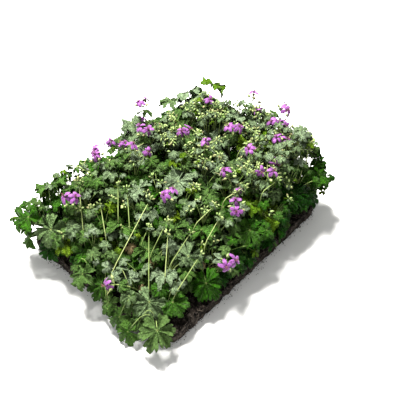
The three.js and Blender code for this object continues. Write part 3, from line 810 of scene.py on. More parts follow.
def growFill(kind):
    rand = random.Random(kind["seed"])
    found = []
    shift, vary = filling["shift"], filling["turnVary"]
    for _ in range(kind["count"] * filling["draws"]):
        if len(found) == kind["count"]:
            break
        x, y, facing = fillSpot(kind, rand)
        if kind.get("clumped") and clumpAt(x, y) < clumps["bare"]:
            continue
        height = fillHeight(x, y)
        for tried in range(filling["tries"]):
            radius = rand.uniform(*kind["radius"]) * (1 - filling["shrink"] * tried)
            level = rand.uniform(*kind["level"])
            middle = vec((x + rand.uniform(-shift, shift), y + rand.uniform(-shift, shift),
                          slab["depth"] + max(filling["least"], height * level)))
            turned = rand.uniform(0, turnOnce) if facing is None else facing + rand.uniform(-vary, vary)
            tilt = rand.uniform(*kind["tilt"])
            normal = normed(vec((tilt * math.cos(turned), tilt * math.sin(turned), 1)))
            if (overBareSoil(*middle) or not insideBox(middle, radius, radius * room["boxHeight"])
                    or middle[2] + filling["underCeiling"] * radius > ceilingAt(middle[0], middle[1])):
                continue
            if middle[2] - radius * math.sqrt(1 - normal[2] ** 2) < slab["depth"] + filling["aboveSoil"]:
                past = max(abs(middle[0]) - slab["length"] / 2, abs(middle[1]) - slab["width"] / 2)
                if past < filling["overhang"] * radius:
                    continue
            one = leafIfFree(middle, normal, radius, kind["reach"], level)
            if one:
                found.append(one)
                break
    return found


overhanging = growEdge()
sideShoots = growShoots()
fillLeaves = {name: growFill(kind) for name, kind in fillKinds.items()}
fillLeaves["skirt"] += overhanging
# The canopy is two pieces, so that neither is too large.
wholeCanopy = fillLeaves["canopy"]
fillLeaves["canopy_far"] = [one for one in wholeCanopy if one["middle"][0] + one["middle"][1] > 0]
fillLeaves["canopy"] = [one for one in wholeCanopy if one["middle"][0] + one["middle"][1] <= 0]
print("filled:", len(sideShoots), "side shoots,", {name: len(found) for name, found in fillLeaves.items()})


# Skins: a ball whose rows are drawn out along a line, which makes stalks, buds, fibres and soil.
skins = {}
poleWidth = 0.01
marks = ("tone", "across", "along", "under")


def skinOf(columns, rows):
    if (columns, rows) in skins:
        return skins[columns, rows]
    bm = bmesh.new()
    bmesh.ops.create_uvsphere(bm, u_segments=columns, v_segments=rows, radius=1)
    angles = [math.atan2(v.co.y, v.co.x) for v in bm.verts]
    flat = [math.hypot(v.co.x, v.co.y) for v in bm.verts]
    start = next(a for a, f in zip(angles, flat) if f > poleWidth)
    column = [round((a - start) / turnOnce * columns) % columns if f > poleWidth else 0
              for a, f in zip(angles, flat)]
    row = [round(math.acos(max(-1, min(1, v.co.z))) / math.pi * rows) for v in bm.verts]
    for face in bm.faces:
        face.smooth = True
    mesh = bpy.data.meshes.new(f"skin{columns}x{rows}")
    bm.to_mesh(mesh)
    bm.free()
    for name in marks:
        mesh.attributes.new(name, "FLOAT", "POINT")
    skins[columns, rows] = {"mesh": mesh, "column": np.array(column), "row": np.array(row)}
    return skins[columns, rows]


def stamp(target, table, tone=0.5, across=0.0, along=0.0, under=0.0, material=0):
    rows, columns = table.shape[0] - 1, table.shape[1]
    skin = skinOf(columns, rows)
    at = (skin["row"], skin["column"])
    mesh = skin["mesh"]
    mesh.vertices.foreach_set("co", np.ascontiguousarray(table[at] * mm, np.float32).ravel())
    shape = (rows + 1, columns)
    for name, value in zip(marks, (tone, across, along, under)):
        spreadOut = np.broadcast_to(np.asarray(value, np.float32), shape)[at]
        mesh.attributes[name].data.foreach_set("value", np.ascontiguousarray(spreadOut))
    mesh.polygons.foreach_set("material_index", np.full(len(mesh.polygons), material, np.int32))
    target.from_mesh(mesh)


def makePiece(name, bm, materials, replaced=()):
    mesh = bpy.data.meshes.new(name)
    bm.to_mesh(mesh)
    bm.free()
    for material in materials:
        mesh.materials.append(material)
    piece = bpy.data.objects.new(name, mesh)
    bpy.context.scene.collection.objects.link(piece)
    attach(piece, "root")
    if replaced:
        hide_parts(*replaced)
    return piece


# A tube along a line of points. Its first and last points close it.
def tubeTable(path, radii, sides, ridges=0, ridgeDepth=0):
    path = vec(path)
    last = len(path) - 1
    angles = np.arange(sides) * turnOnce / sides
    table = np.zeros((last + 1, sides, 3))
    table[0] = path[last]
    table[last] = path[0]
    tangent = normed(path[1] - path[0])
    helper = vec((1, 0, 0)) if abs(tangent[0]) < 0.8 else vec((0, 1, 0))
    u = normed(np.cross(tangent, helper))
    for k in range(1, last):
        tangent = normed(path[k + 1] - path[k - 1])
        u = normed(u - tangent * np.dot(u, tangent))
        v = np.cross(tangent, u)
        radius = radii[k] * (1 + ridgeDepth * np.cos(ridges * angles))
        table[last - k] = (path[k] + np.outer(radius * np.cos(angles), u)
                           + np.outer(radius * np.sin(angles), v))
    return table


# A tube whose places and radii along a line are given as shares of a length and a radius.
def turnedTable(base, axis, length, radius, profile, sides, ridges=0, ridgeDepth=0):
    path = [base + axis * length * at for at, _ in profile]
    return tubeTable(path, [radius * share for _, share in profile], sides, ridges, ridgeDepth)


# A thin blade: its rim is drawn in towards the middle ring by ring, closed, given its thickness
# and then bent by the height that it has at each point. Until then "tone" holds the lobe's number.
def thinBlade(rim, rings, middle, thickness, height, rimMarks):
    bm = bmesh.new()
    layers = {name: bm.verts.layers.float.new(name) for name in marks}
    verts = bmesh.ops.create_circle(bm, cap_ends=False, segments=len(rim), radius=1)["verts"]
    for vert, (x, y), values in zip(verts, rim, rimMarks):
        vert.co = (x, y, 0)
        vert[layers["across"]] = values["across"]
        vert[layers["tone"]] = values["lobe"]
    edges = list(bm.edges)
    share = 1
    for ring in rings:
        drawn = bmesh.ops.extrude_edge_only(bm, edges=edges)["geom"]
        verts = [g for g in drawn if isinstance(g, bmesh.types.BMVert)]
        edges = [g for g in drawn if isinstance(g, bmesh.types.BMEdge)]
        scale = ring / share
        for vert in verts:
            vert.co.x = middle[0] + (vert.co.x - middle[0]) * scale
            vert.co.y = middle[1] + (vert.co.y - middle[1]) * scale
        share = ring
    bmesh.ops.pointmerge(bm, verts=verts, merge_co=(*middle, 0))
    bmesh.ops.recalc_face_normals(bm, faces=bm.faces)
    if sum(face.normal.z for face in bm.faces) < 0:
        bmesh.ops.reverse_faces(bm, faces=bm.faces)
    bmesh.ops.solidify(bm, geom=list(bm.faces), thickness=thickness)
    heights = [vert.co.z for vert in bm.verts]
    halfway = (min(heights) + max(heights)) / 2
    for vert in bm.verts:
        vert[layers["along"]] = math.hypot(vert.co.x, vert.co.y)
        vert[layers["under"]] = float(vert.co.z < halfway)
        vert.co.z = (vert.co.z - halfway
                     + height(vert.co.x, vert.co.y, vert[layers["across"]], int(vert[layers["tone"]])))
        vert[layers["tone"]] = 0
    bmesh.ops.recalc_face_normals(bm, faces=bm.faces)
    for face in bm.faces:
        face.smooth = True
    return bm


def keepForm(bm, name):
    mesh = bpy.data.meshes.new(name)
    bm.to_mesh(mesh)
    bm.free()
    points = np.zeros(len(mesh.vertices) * 3, np.float32)
    mesh.vertices.foreach_get("co", points)
    tones = np.zeros(len(mesh.vertices), np.float32)
    mesh.attributes["tone"].data.foreach_get("value", tones)
    return {"mesh": mesh, "points": points.reshape(-1, 3).astype(float), "tones": tones,
            "faces": len(mesh.polygons)}


def basisOf(normal, toward):
    normal = normed(vec(normal))
    toward = vec(toward)
    ahead = normed(toward - normal * np.dot(toward, normal))
    return np.stack([ahead, np.cross(normal, ahead), normal])


# A form that would pass the box is made smaller step by step.
def placeForm(target, form, middle, basis, scale, tone, material=None, sag=0.0):
    turned = form["points"] @ basis
    turned[:, 2] -= sag * np.sum(form["points"][:, :2] ** 2, axis=1)
    placed = vec(middle) + scale * turned
    while (placed.min(axis=0) < boxLow).any() or (placed.max(axis=0) > boxHigh).any():
        scale *= room["shrink"]
        placed = vec(middle) + scale * turned
    mesh = form["mesh"]
    mesh.vertices.foreach_set("co", (placed * mm).astype(np.float32).ravel())
    mesh.attributes["tone"].data.foreach_set("value", (form["tones"] + tone).astype(np.float32))
    if material is not None:
        mesh.polygons.foreach_set("material_index", np.full(form["faces"], material, np.int32))
    target.from_mesh(mesh)


noiseSpan = 50


# A palmate blade of radius 1 with its stalk at the middle and its sinus towards -X.
def lobedRim(form, rand):
    rim = [(math.pi, form["sinus"], 1.0, 0)]
    pitch = (turnOnce - math.radians(form["sinusAngle"])) / form["lobes"]
    cutOpen = rand.uniform(*form["cutOpen"])
    for lobe in range(form["lobes"]):
        middle = math.pi + math.radians(form["sinusAngle"]) / 2 + pitch * (lobe + 0.5)
        share = form["baseShare"] + (1 - form["baseShare"]) * 0.5 * (1 + math.cos(middle))
        length = share * (1 + form["unevenness"] * rand.uniform(-1, 1))
        skew = rand.uniform(-form["skew"], form["skew"])
        half = form["halfLobe"]
        for offset, reach in [(-o, r) for o, r in half] + [(o, r) for o, r in reversed(half) if o > 0]:
            narrowed = offset * (1 - cutOpen * smooth((reach - form["cutFrom"]) / form["cutOver"]))
            angle = middle + (narrowed + skew * (1 - narrowed * narrowed)) * pitch / 2
            vary = 1 + form["toothVary"] * rand.uniform(-1, 1)
            rim.append((angle, length * reach * vary, offset, lobe))
        if lobe < form["lobes"] - 1:
            rim.append((middle + pitch / 2, form["notch"] * rand.uniform(*form["notchVary"]), 1.0, lobe))
    return rim


def lobedForm(form, rand, name):
    rim = lobedRim(form, rand)
    count = form["lobes"]
    droop = [form["droop"] * rand.uniform(*form["droopVary"]) for _ in range(count)]
    fold = [form["fold"] * rand.uniform(*form["foldVary"]) for _ in range(count)]
    twist = [form["twist"] * rand.uniform(-1, 1) for _ in range(count)]
    cup = rand.uniform(*form["cup"])
    where = Vector((rand.uniform(0, noiseSpan), rand.uniform(0, noiseSpan), 0))

    def height(x, y, across, lobe):
        r = math.hypot(x, y)
        ripple = noise.noise(where + Vector((x, y, 0)) * form["rippleScale"]) * form["ripple"] * r
        folded = abs(across) ** form["foldPower"] - form["foldSeat"]
        return (cup * r * r - droop[lobe] * r ** form["droopPower"] + fold[lobe] * r * folded
                + twist[lobe] * r * r * across - form["tipCurl"] * max(0, r - form["curlFrom"]) ** 2 + ripple)

    points = [(r * math.cos(a), r * math.sin(a)) for a, r, _, _ in rim]
    values = [{"across": across, "lobe": lobe} for _, _, across, lobe in rim]
    return keepForm(thinBlade(points, form["rings"], (0, 0), form["thickness"], height, values), name)


# Lengths are shares of the radius here, and the sinus is in degrees. "halfLobe" gives the way
# across and the reach of half a lobe's rim, from the notch to the tip.
leafForm = {
    "lobes": 7, "sinusAngle": 18, "sinus": 0.12, "notch": 0.42, "notchVary": (0.85, 1.2),
    "baseShare": 0.88, "unevenness": 0.08, "skew": 0.12,
    "halfLobe": [(0.82, 0.58), (0.99, 0.76), (0.92, 0.91), (0.68, 0.96), (0.5, 0.84), (0.36, 1.0),
                 (0.12, 1.05)],
    "cutOpen": (-0.02, 0.16), "cutFrom": 0.5, "cutOver": 0.3, "toothVary": 0.045,
    "rings": (0.78, 0.5, 0.2), "thickness": 0.018, "droop": 0.13, "droopVary": (-0.7, 2.2),
    "droopPower": 2.2, "fold": 0.42, "foldVary": (0.3, 1.7), "foldPower": 1.4, "foldSeat": 0.45,
    "twist": 0.24, "cup": (-0.05, 0.1), "tipCurl": 0.7, "curlFrom": 0.75, "ripple": 0.27,
    "rippleScale": 7.5,
}
fillForm = dict(leafForm, lobes=6, rings=(0.62, 0.3), thickness=0.026,
                halfLobe=[(0.9, 0.62), (0.95, 0.88), (0.62, 0.85), (0.4, 1.0), (0.0, 1.04)])
smallForm = dict(leafForm, lobes=5, sinusAngle=34, rings=(0.5,), thickness=0.04,
                 halfLobe=[(0.9, 0.8), (0.6, 0.88), (0.24, 1.02)], fold=0.35, tipCurl=0.3)
bractForm = dict(smallForm, lobes=3, sinusAngle=130, sinus=0.38, notch=0.45, rings=(0.7, 0.35),
                 halfLobe=[(0.9, 0.55), (0.72, 0.9), (0.45, 0.84), (0.2, 1.03)])
tinyForm = dict(smallForm, lobes=3, sinusAngle=120, sinus=0.3,
                halfLobe=[(0.8, 0.8), (0.4, 0.95), (0.0, 1.04)])

formDice = random.Random(5)
leafForms = [lobedForm(dict(leafForm, lobes=7 - k % 2), formDice, f"leafForm{k}") for k in range(16)]
fillForms = [lobedForm(dict(fillForm, lobes=7 - k % 3), formDice, f"fillForm{k}") for k in range(18)]
smallForms = [lobedForm(smallForm, formDice, f"smallForm{k}") for k in range(12)]
tinyForms = [lobedForm(tinyForm, formDice, f"tinyForm{k}") for k in range(8)]
bractForms = [lobedForm(bractForm, formDice, f"bractForm{k}") for k in range(6)]
print("leaf forms:", leafForms[0]["faces"], fillForms[0]["faces"], smallForms[0]["faces"], "faces each")


# Materials
def addNode(tree, kind, at, **settings):
    node = tree.nodes.new(kind)
    node.location = at
    for key, value in settings.items():
        setattr(node, key, value)
    return node


# A socket takes a link from another node's output, or a plain value.
def feed(tree, socket, value):
    if hasattr(value, "is_output"):
        tree.links.new(value, socket)
    else:
        socket.default_value = value


def mathNode(tree, operation, at, first, second=None, clamp=False):
    node = addNode(tree, "ShaderNodeMath", at, operation=operation, use_clamp=clamp)
    feed(tree, node.inputs[0], first)
    if second is not None:
        feed(tree, node.inputs[1], second)
    return node.outputs[0]


def mixColour(tree, at, factor, first, second):
    node = addNode(tree, "ShaderNodeMix", at, data_type="RGBA")
    for socket, value in ((0, factor), (6, first), (7, second)):
        feed(tree, node.inputs[socket], value)
    return node.outputs[2]


def ramp(tree, at, source, stops):
    node = addNode(tree, "ShaderNodeValToRGB", at)
    elements = node.color_ramp.elements
    while len(elements) < len(stops):
        elements.new(0.5)
    for element, (place, colour) in zip(elements, stops):
        element.position = place
        element.color = (*colour, 1)
    tree.links.new(source, node.inputs[0])
    return node.outputs[0]


def attribute(tree, name, at):
    node = addNode(tree, "ShaderNodeAttribute", at, attribute_name=name)
    return node.outputs["Fac"]


def newGroup(name, inputs, outputs):
    group = bpy.data.node_groups.new(name, "ShaderNodeTree")
    for label, value in inputs.items():
        socket = group.interface.new_socket(label, in_out="INPUT", socket_type="NodeSocketFloat")
        socket.default_value = value
    for label in outputs:
        group.interface.new_socket(label, in_out="OUTPUT", socket_type="NodeSocketFloat")
    source = addNode(group, "NodeGroupInput", (-900, 0))
    sink = addNode(group, "NodeGroupOutput", (700, 0))
    return group, source, sink


# Patches: soft noise between two values, on Object coordinates.
def patchesGroup():
    values = {"Scale": 100.0, "Detail": 3.0, "Low": 0.8, "High": 1.2}
    group, source, sink = newGroup("patches", values, ["Value"])
    place = addNode(group, "ShaderNodeTexCoord", (-600, 200))
    texture = addNode(group, "ShaderNodeTexNoise", (-300, 100))
    group.links.new(place.outputs["Object"], texture.inputs["Vector"])
    group.links.new(source.outputs["Scale"], texture.inputs["Scale"])
    group.links.new(source.outputs["Detail"], texture.inputs["Detail"])
    stretch = addNode(group, "ShaderNodeMapRange", (0, 100))
    for socket, value in (("Value", texture.outputs["Fac"]), ("From Min", 0.3), ("From Max", 0.7),
                          ("To Min", source.outputs["Low"]), ("To Max", source.outputs["High"])):
        feed(group, stretch.inputs[socket], value)
    group.links.new(stretch.outputs["Result"], sink.inputs["Value"])
    return group


# Ribs: a midrib down each lobe and side veins that leave it, from the blade's own attributes.
def ribsGroup():
    group, source, sink = newGroup("ribs", {"Width": 0.03, "Side veins": 9.0}, ["Midrib", "Veins"])
    across = mathNode(group, "ABSOLUTE", (-700, 200), attribute(group, "across", (-900, 200)))
    along = attribute(group, "along", (-900, 400))
    away = mathNode(group, "MULTIPLY", (-500, 200), across, along)
    near = mathNode(group, "DIVIDE", (-300, 200), away, source.outputs["Width"])
    midrib = mathNode(group, "SUBTRACT", (-100, 200), 1.0, near, clamp=True)
    slant = mathNode(group, "SUBTRACT", (-300, 0), along, mathNode(group, "MULTIPLY", (-500, 0), away, 0.9))
    counted = mathNode(group, "MULTIPLY", (-100, 0), slant, source.outputs["Side veins"])
    wave = mathNode(group, "FRACT", (100, 0), counted)
    centred = mathNode(group, "ABSOLUTE", (300, 0), mathNode(group, "SUBTRACT", (200, 0), wave, 0.5))
    sharpened = mathNode(group, "MULTIPLY", (400, 0), centred, 6.0)
    veins = mathNode(group, "SUBTRACT", (500, 0), 1.0, sharpened, clamp=True)
    group.links.new(midrib, sink.inputs["Midrib"])
    group.links.new(veins, sink.inputs["Veins"])
    return group


patches = patchesGroup()
ribs = ribsGroup()


def useGroup(tree, group, at, **values):
    node = addNode(tree, "ShaderNodeGroup", at, node_tree=group)
    for name, value in values.items():
        node.inputs[name.replace("_", " ")].default_value = value
    return node


def newMaterial(name, **values):
    material = bpy.data.materials.new(name)
    material.use_nodes = True
    shader = material.node_tree.nodes["Principled BSDF"]
    for key, value in values.items():
        shader.inputs[key.replace("_", " ")].default_value = value
    return material, material.node_tree, shader


def bumpFrom(tree, height, strength, distance, shader):
    node = addNode(tree, "ShaderNodeBump", (-200, -400))
    node.inputs["Strength"].default_value = strength
    node.inputs["Distance"].default_value = distance
    tree.links.new(height, node.inputs["Height"])
    tree.links.new(node.outputs["Normal"], shader.inputs["Normal"])


def brightened(tree, at, colour, value):
    node = addNode(tree, "ShaderNodeHueSaturation", at)
    tree.links.new(colour, node.inputs["Color"])
    tree.links.new(value, node.inputs["Value"])
    return node.outputs["Color"]


# Tones run from deep green at 0 to pale at 0.86. The yellow-greens from 0.93 are painted light shining
# through backlit leaves.
bladeLook = {
    "tones": [(0.0, (0.006, 0.048, 0.001)), (0.35, (0.024, 0.090, 0.003)), (0.62, (0.076, 0.135, 0.036)),
              (0.86, (0.19, 0.25, 0.158)), (0.93, (0.062, 0.135, 0.004)), (1.0, (0.105, 0.175, 0.006))],
    "rib": (0.20, 0.26, 0.12, 1), "under": (0.075, 0.14, 0.03, 1), "seat": (0.26, 0.31, 0.10, 1),
    "ribShare": 0.55, "veinShare": 0.16, "underShare": 0.55, "seatFall": 11.0,
}


def bladeMaterial(name):
    material, tree, shader = newMaterial(name, Roughness=0.42, Specular_IOR_Level=0.06)
    tone = attribute(tree, "tone", (-1400, 300))
    colour = ramp(tree, (-1200, 300), tone, bladeLook["tones"])
    # Lighter and darker patches: partly the leaf's own mottle, partly painted light and shade of its puckered
    # surface.
    mottleAndPuckerShade = useGroup(tree, patches, (-1200, 0), Scale=190.0, Detail=4.0, Low=0.54, High=1.5)
    colour = brightened(tree, (-900, 300), colour, mottleAndPuckerShade.outputs[0])
    lines = useGroup(tree, ribs, (-1200, -200), Width=0.035, Side_veins=10.0)
    ribShare = mathNode(tree, "MULTIPLY", (-900, -100), lines.outputs["Midrib"], bladeLook["ribShare"])
    veinShare = mathNode(tree, "MULTIPLY", (-900, -250), lines.outputs["Veins"], bladeLook["veinShare"])
    colour = mixColour(tree, (-700, 300), mathNode(tree, "MAXIMUM", (-800, -100), ribShare, veinShare),
                       colour, bladeLook["rib"])
    under = attribute(tree, "under", (-900, 600))
    underShare = mathNode(tree, "MULTIPLY", (-700, 0), under, bladeLook["underShare"])
    colour = mixColour(tree, (-500, 300), underShare, colour, bladeLook["under"])
    along = attribute(tree, "along", (-900, 500))
    fromSeat = mathNode(tree, "MULTIPLY", (-700, 500), along, bladeLook["seatFall"])
    seat = mathNode(tree, "SUBTRACT", (-500, 500), 1.0, fromSeat, clamp=True)
    colour = mixColour(tree, (-300, 300), seat, colour, bladeLook["seat"])
    tree.links.new(colour, shader.inputs["Base Color"])
    wrinkles = useGroup(tree, patches, (-900, -500), Scale=230.0, Detail=3.0, Low=0.0, High=0.9)
    sunk = mathNode(tree, "SUBTRACT", (-500, -400), wrinkles.outputs[0],
                    mathNode(tree, "MAXIMUM", (-700, -400), lines.outputs["Midrib"], lines.outputs["Veins"]))
    bumpFrom(tree, sunk, 1.0, 0.003, shader)
    return material


stalkLooks = {
    "greenStalk": ((0.06, 0.13, 0.015, 1), (0.15, 0.24, 0.045, 1), (0.38, 0.44, 0.17, 1)),
    "calyx": ((0.15, 0.25, 0.06, 1), (0.33, 0.41, 0.16, 1), (0.17, 0.09, 0.06, 1)),
    "stamen": ((0.15, 0.10, 0.07, 1), (0.26, 0.19, 0.10, 1), (0.18, 0.06, 0.08, 1)),
    "woodyStock": ((0.03, 0.018, 0.01, 1), (0.07, 0.04, 0.024, 1), (0.05, 0.03, 0.02, 1)),
    "deadLeaf": ((0.14, 0.10, 0.042, 1), (0.28, 0.22, 0.11, 1), (0.20, 0.15, 0.065, 1)),
    "fibre": ((0.045, 0.035, 0.026, 1), (0.125, 0.10, 0.075, 1), (0.08, 0.06, 0.045, 1)),
}


# Two colours in patches, and a third that the tone attribute blends in.
def stalkMaterial(name):
    low, high, blush = stalkLooks[name]
    material, tree, shader = newMaterial(name, Roughness=0.5, Sheen_Weight=0.05, Specular_IOR_Level=0.2)
    patch = useGroup(tree, patches, (-1000, 0), Scale=45.0, Detail=2.0, Low=0.0, High=1.0)
    colour = mixColour(tree, (-700, 200), patch.outputs[0], low, high)
    colour = mixColour(tree, (-500, 200), attribute(tree, "tone", (-800, 400)), colour, blush)
    tree.links.new(colour, shader.inputs["Base Color"])
    hairs = useGroup(tree, patches, (-700, -300), Scale=1500.0, Detail=2.0, Low=0.0, High=1.0)
    bumpFrom(tree, hairs.outputs[0], 0.3, 0.0003, shader)
    return material


petalLook = {"edge": (0.205, 0.067, 0.24, 1), "base": (0.10, 0.016, 0.105, 1),
             "vein": (0.12, 0.018, 0.13, 1), "veinShare": 0.25}


def petalMaterial(name):
    material, tree, shader = newMaterial(name, Roughness=0.45, Sheen_Weight=0.1, Specular_IOR_Level=0.15)
    along = attribute(tree, "along", (-1200, 400))
    colour = mixColour(tree, (-800, 300), mathNode(tree, "POWER", (-1000, 400), along, 0.7),
                       petalLook["base"], petalLook["edge"])
    shade = useGroup(tree, patches, (-1000, 100), Scale=210.0, Detail=3.0, Low=0.6, High=1.5)
    colour = brightened(tree, (-600, 300), colour, shade.outputs[0])
    tone = mathNode(tree, "ADD", (-700, 600), attribute(tree, "tone", (-900, 600)), 0.5)
    colour = brightened(tree, (-450, 300), colour, tone)
    lines = useGroup(tree, ribs, (-1000, -200), Width=0.05, Side_veins=6.0)
    veinShare = mathNode(tree, "MULTIPLY", (-600, -100), lines.outputs["Veins"], petalLook["veinShare"])
    colour = mixColour(tree, (-300, 300), veinShare, colour, petalLook["vein"])
    tree.links.new(colour, shader.inputs["Base Color"])
    bumpFrom(tree, lines.outputs["Veins"], 0.2, 0.0003, shader)
    return material


soilTones = [(0.25, (0.0045, 0.0036, 0.0028)), (0.62, (0.018, 0.014, 0.011)), (1.0, (0.066, 0.055, 0.046))]


def soilMaterial(name):
    material, tree, shader = newMaterial(name, Roughness=0.95, Specular_IOR_Level=0.08)
    coarse = useGroup(tree, patches, (-1200, 200), Scale=95.0, Detail=8.0, Low=0.0, High=1.0)
    fine = useGroup(tree, patches, (-1200, 0), Scale=520.0, Detail=6.0, Low=-0.25, High=0.25)
    amount = mathNode(tree, "ADD", (-900, 200), coarse.outputs[0], fine.outputs[0], clamp=True)
    tone = attribute(tree, "tone", (-900, 400))
    amount = mathNode(tree, "ADD", (-700, 200), amount, tone, clamp=True)
    colour = ramp(tree, (-500, 200), amount, soilTones)
    tree.links.new(colour, shader.inputs["Base Color"])
    bumpFrom(tree, fine.outputs[0], 0.8, 0.002, shader)
    return material


bladeFinish = bladeMaterial("leafBlade")
petalFinish = petalMaterial("petal")
soilFinish = soilMaterial("peat")
stalkFinish, calyxFinish, stamenFinish, stockFinish, deadFinish, fibreFinish = map(stalkMaterial, stalkLooks)


# Foliage: a blade's tone runs from 0, deep green, to 0.88, pale, and rises with the leaf's height, partly its
# own colour and partly painted light on the top of the canopy and painted shade beneath. Tones past 0.93 are
# a yellow-green that paints light shining through backlit leaves.
leafTones = {"middle": 0.5, "rise": 0.95, "fromLevel": 0.78, "vary": (-0.2, 0.24),
             # A share of the leaves gets the yellow-green tones: painted light shining through backlit
             # leaves.
             "backlitGlow": (0.93, 1.0), "backlitShare": 0.075, "backlitPast": -260,
             # Painted shade: leaves on the right side are given a darker tone.
             "shadySide": {"x": -60, "y": (-135, -185), "darker": 0.37},
             # Painted shade: leaves in a patch towards the left are given a darker tone.
             "left": {"x": (0, -110), "y": (-50, 40), "darker": 0.12},
             # Painted light: leaves towards the far corner are given a paler tone, which lifts the shade
             # between them.
             "far": {"from": (40, 250), "paler": 0.14}}
foliage = {"palest": 0.79, "sag": (0.0, 0.14), "stalk": (1.3125, 0.8925), "sides": 6, "stalkTone": (0, 0.5),
           "seed": 11}
filler = {"palest": 0.88, "sag": (0, 0.2), "stalk": (0.85, 0.65), "sides": 4, "stalkTone": (0, 0.6),
          "smallUpTo": 16, "seed": 12}
# Height above the ground and radius, from the foot of the stock to its top.
crown = {"sides": 12, "scales": 5, "scaleDepth": 0.12, "tone": 0.3,
         "profile": [(-22.4, 0), (-22, 3.9), (-8, 4.3), (1, 4.7), (4, 5.4), (8, 7.6), (11, 7.4),
                     (14, 4.5), (15, 0)]}


def leafTone(rand, level, middle, palest):
    x, y = middle[0], middle[1]
    # Painted backlit glow: a yellow-green tone stands in for light shining through the leaf.
    if rand.random() < leafTones["backlitShare"] and x + y >= leafTones["backlitPast"]:
        return rand.uniform(*leafTones["backlitGlow"])
    side, left, far = leafTones["shadySide"], leafTones["left"], leafTones["far"]
    # Painted shade: leaves on the right side get a darker tone.
    darker = side["darker"] * between(y, *side["y"]) * (x > side["x"])
    # Painted light: leaves towards the far corner get a paler tone.
    darker -= far["paler"] * between(x + y, *far["from"])
    # Painted shade: leaves in a patch towards the left get a darker tone.
    darker += left["darker"] * between(y, *left["y"]) * between(x, *left["x"])
    # Tone rises with height: partly the leaves' own colour, partly painted light on the top of the canopy and
    # painted shade beneath.
    tone = leafTones["middle"] + leafTones["rise"] * (level - leafTones["fromLevel"]) - darker
    return min(palest, max(0.0, tone + rand.uniform(*leafTones["vary"])))


def addStalk(target, path, start, end, sides, tone=0.2, material=1):
    stamp(target, tubeTable(path, np.linspace(start, end, len(path)), sides), tone, material=material)


def addLeaf(target, one, path, forms, rand, look):
    placeForm(target, rand.choice(forms), one["middle"], basisOf(one["normal"], one["out"]), one["radius"],
              leafTone(rand, one["level"], one["middle"], look["palest"]), 0, rand.uniform(*look["sag"]))
    addStalk(target, path, *look["stalk"], look["sides"], rand.uniform(*look["stalkTone"]))


def addCrown(target, x, y):
    table = turnedTable(vec((x, y, groundAt(x, y))), vec((0, 0, 1)), 1, 1, crown["profile"],
                        crown["sides"], crown["scales"], crown["scaleDepth"])
    stamp(target, table, crown["tone"], material=2)


foliageDice = random.Random(foliage["seed"])
for plant, (x, y) in enumerate(places):
    bm = bmesh.new()
    addCrown(bm, x, y)
    for one in leaves:
        if one["plant"] != plant:
            continue
        seat = add(one["middle"], one["normal"], -filling["seat"])
        path = curve(one["root"], seat, stalkLean["leaf"], stalkSteps["leaf"])
        addLeaf(bm, one, path, leafForms, foliageDice, foliage)
    makePiece(f"foliage_{plant + 1:02d}", bm, [bladeFinish, stalkFinish, stockFinish],
              [f"plant_{plant + 1:02d}"])
print("foliage made")

fillDice = random.Random(filler["seed"])
for name, found in fillLeaves.items():
    bm = bmesh.new()
    for one in found:
        forms = fillForms if one["radius"] > filler["smallUpTo"] else smallForms
        addLeaf(bm, one, one["path"], forms, fillDice, filler)
    makePiece(f"{name}_leaves", bm, [bladeFinish, stalkFinish])
bm = bmesh.new()
for one in witheredLeaves:
    form = fillDice.choice(fillForms)
    placeForm(bm, form, one["middle"], basisOf(one["normal"], one["out"]), one["radius"],
              fillDice.uniform(*withered["tone"]), 0, fillDice.uniform(*withered["sag"]))
    path = curve(one["root"], one["middle"], stalkLean["side"], stalkSteps["filling"])
    addStalk(bm, path, *withered["stalk"], filler["sides"])
makePiece("withered_leaves", bm, [deadFinish, deadFinish])
print("filling leaves made")


# Flowers
flower = {"radius": 13, "petals": 5, "spacing": 21, "forms": 9, "seed": 20, "turnVary": 0.25,
          "leanVary": 0.5, "shadeVary": 0.12, "tone": (0.35, 0.65), "faceAlong": 1.1}
# In a petal, a stamen and the style, lengths are shares of the flower's radius.
petal = {"columns": 14, "halfLength": 0.52, "halfWidth": 0.33, "middle": 0.55, "narrow": 0.4,
         "narrowFrom": 0.7, "nick": 0.06, "rough": 0.015, "thickness": 0.05, "rings": (0.68, 0.34),
         "rise": 0.3, "riseTurn": 2.2, "reflex": (0.2, 1.0), "reflexPower": 2.3, "cup": 0.55, "tilt": 0.25,
         "ruffle": 0.2, "ruffleScale": 5}
stamens = {"count": 8, "foot": 0.05, "lean": (0.1, 0.24), "height": (0.45, 0.7),
           "profile": [(0, 0), (0.05, 0.02), (0.9, 0.018), (0.92, 0.05), (1.08, 0.045), (1.1, 0)],
           "style": [(-0.05, 0), (0.0, 0.12), (0.25, 0.08), (0.5, 0.03), (0.6, 0)]}
pedicel = {"radius": 0.8, "steps": 5, "tone": 0.3, "flowerLength": 17, "budLength": 11, "inStem": 1.5,
           "knee": 2.5}
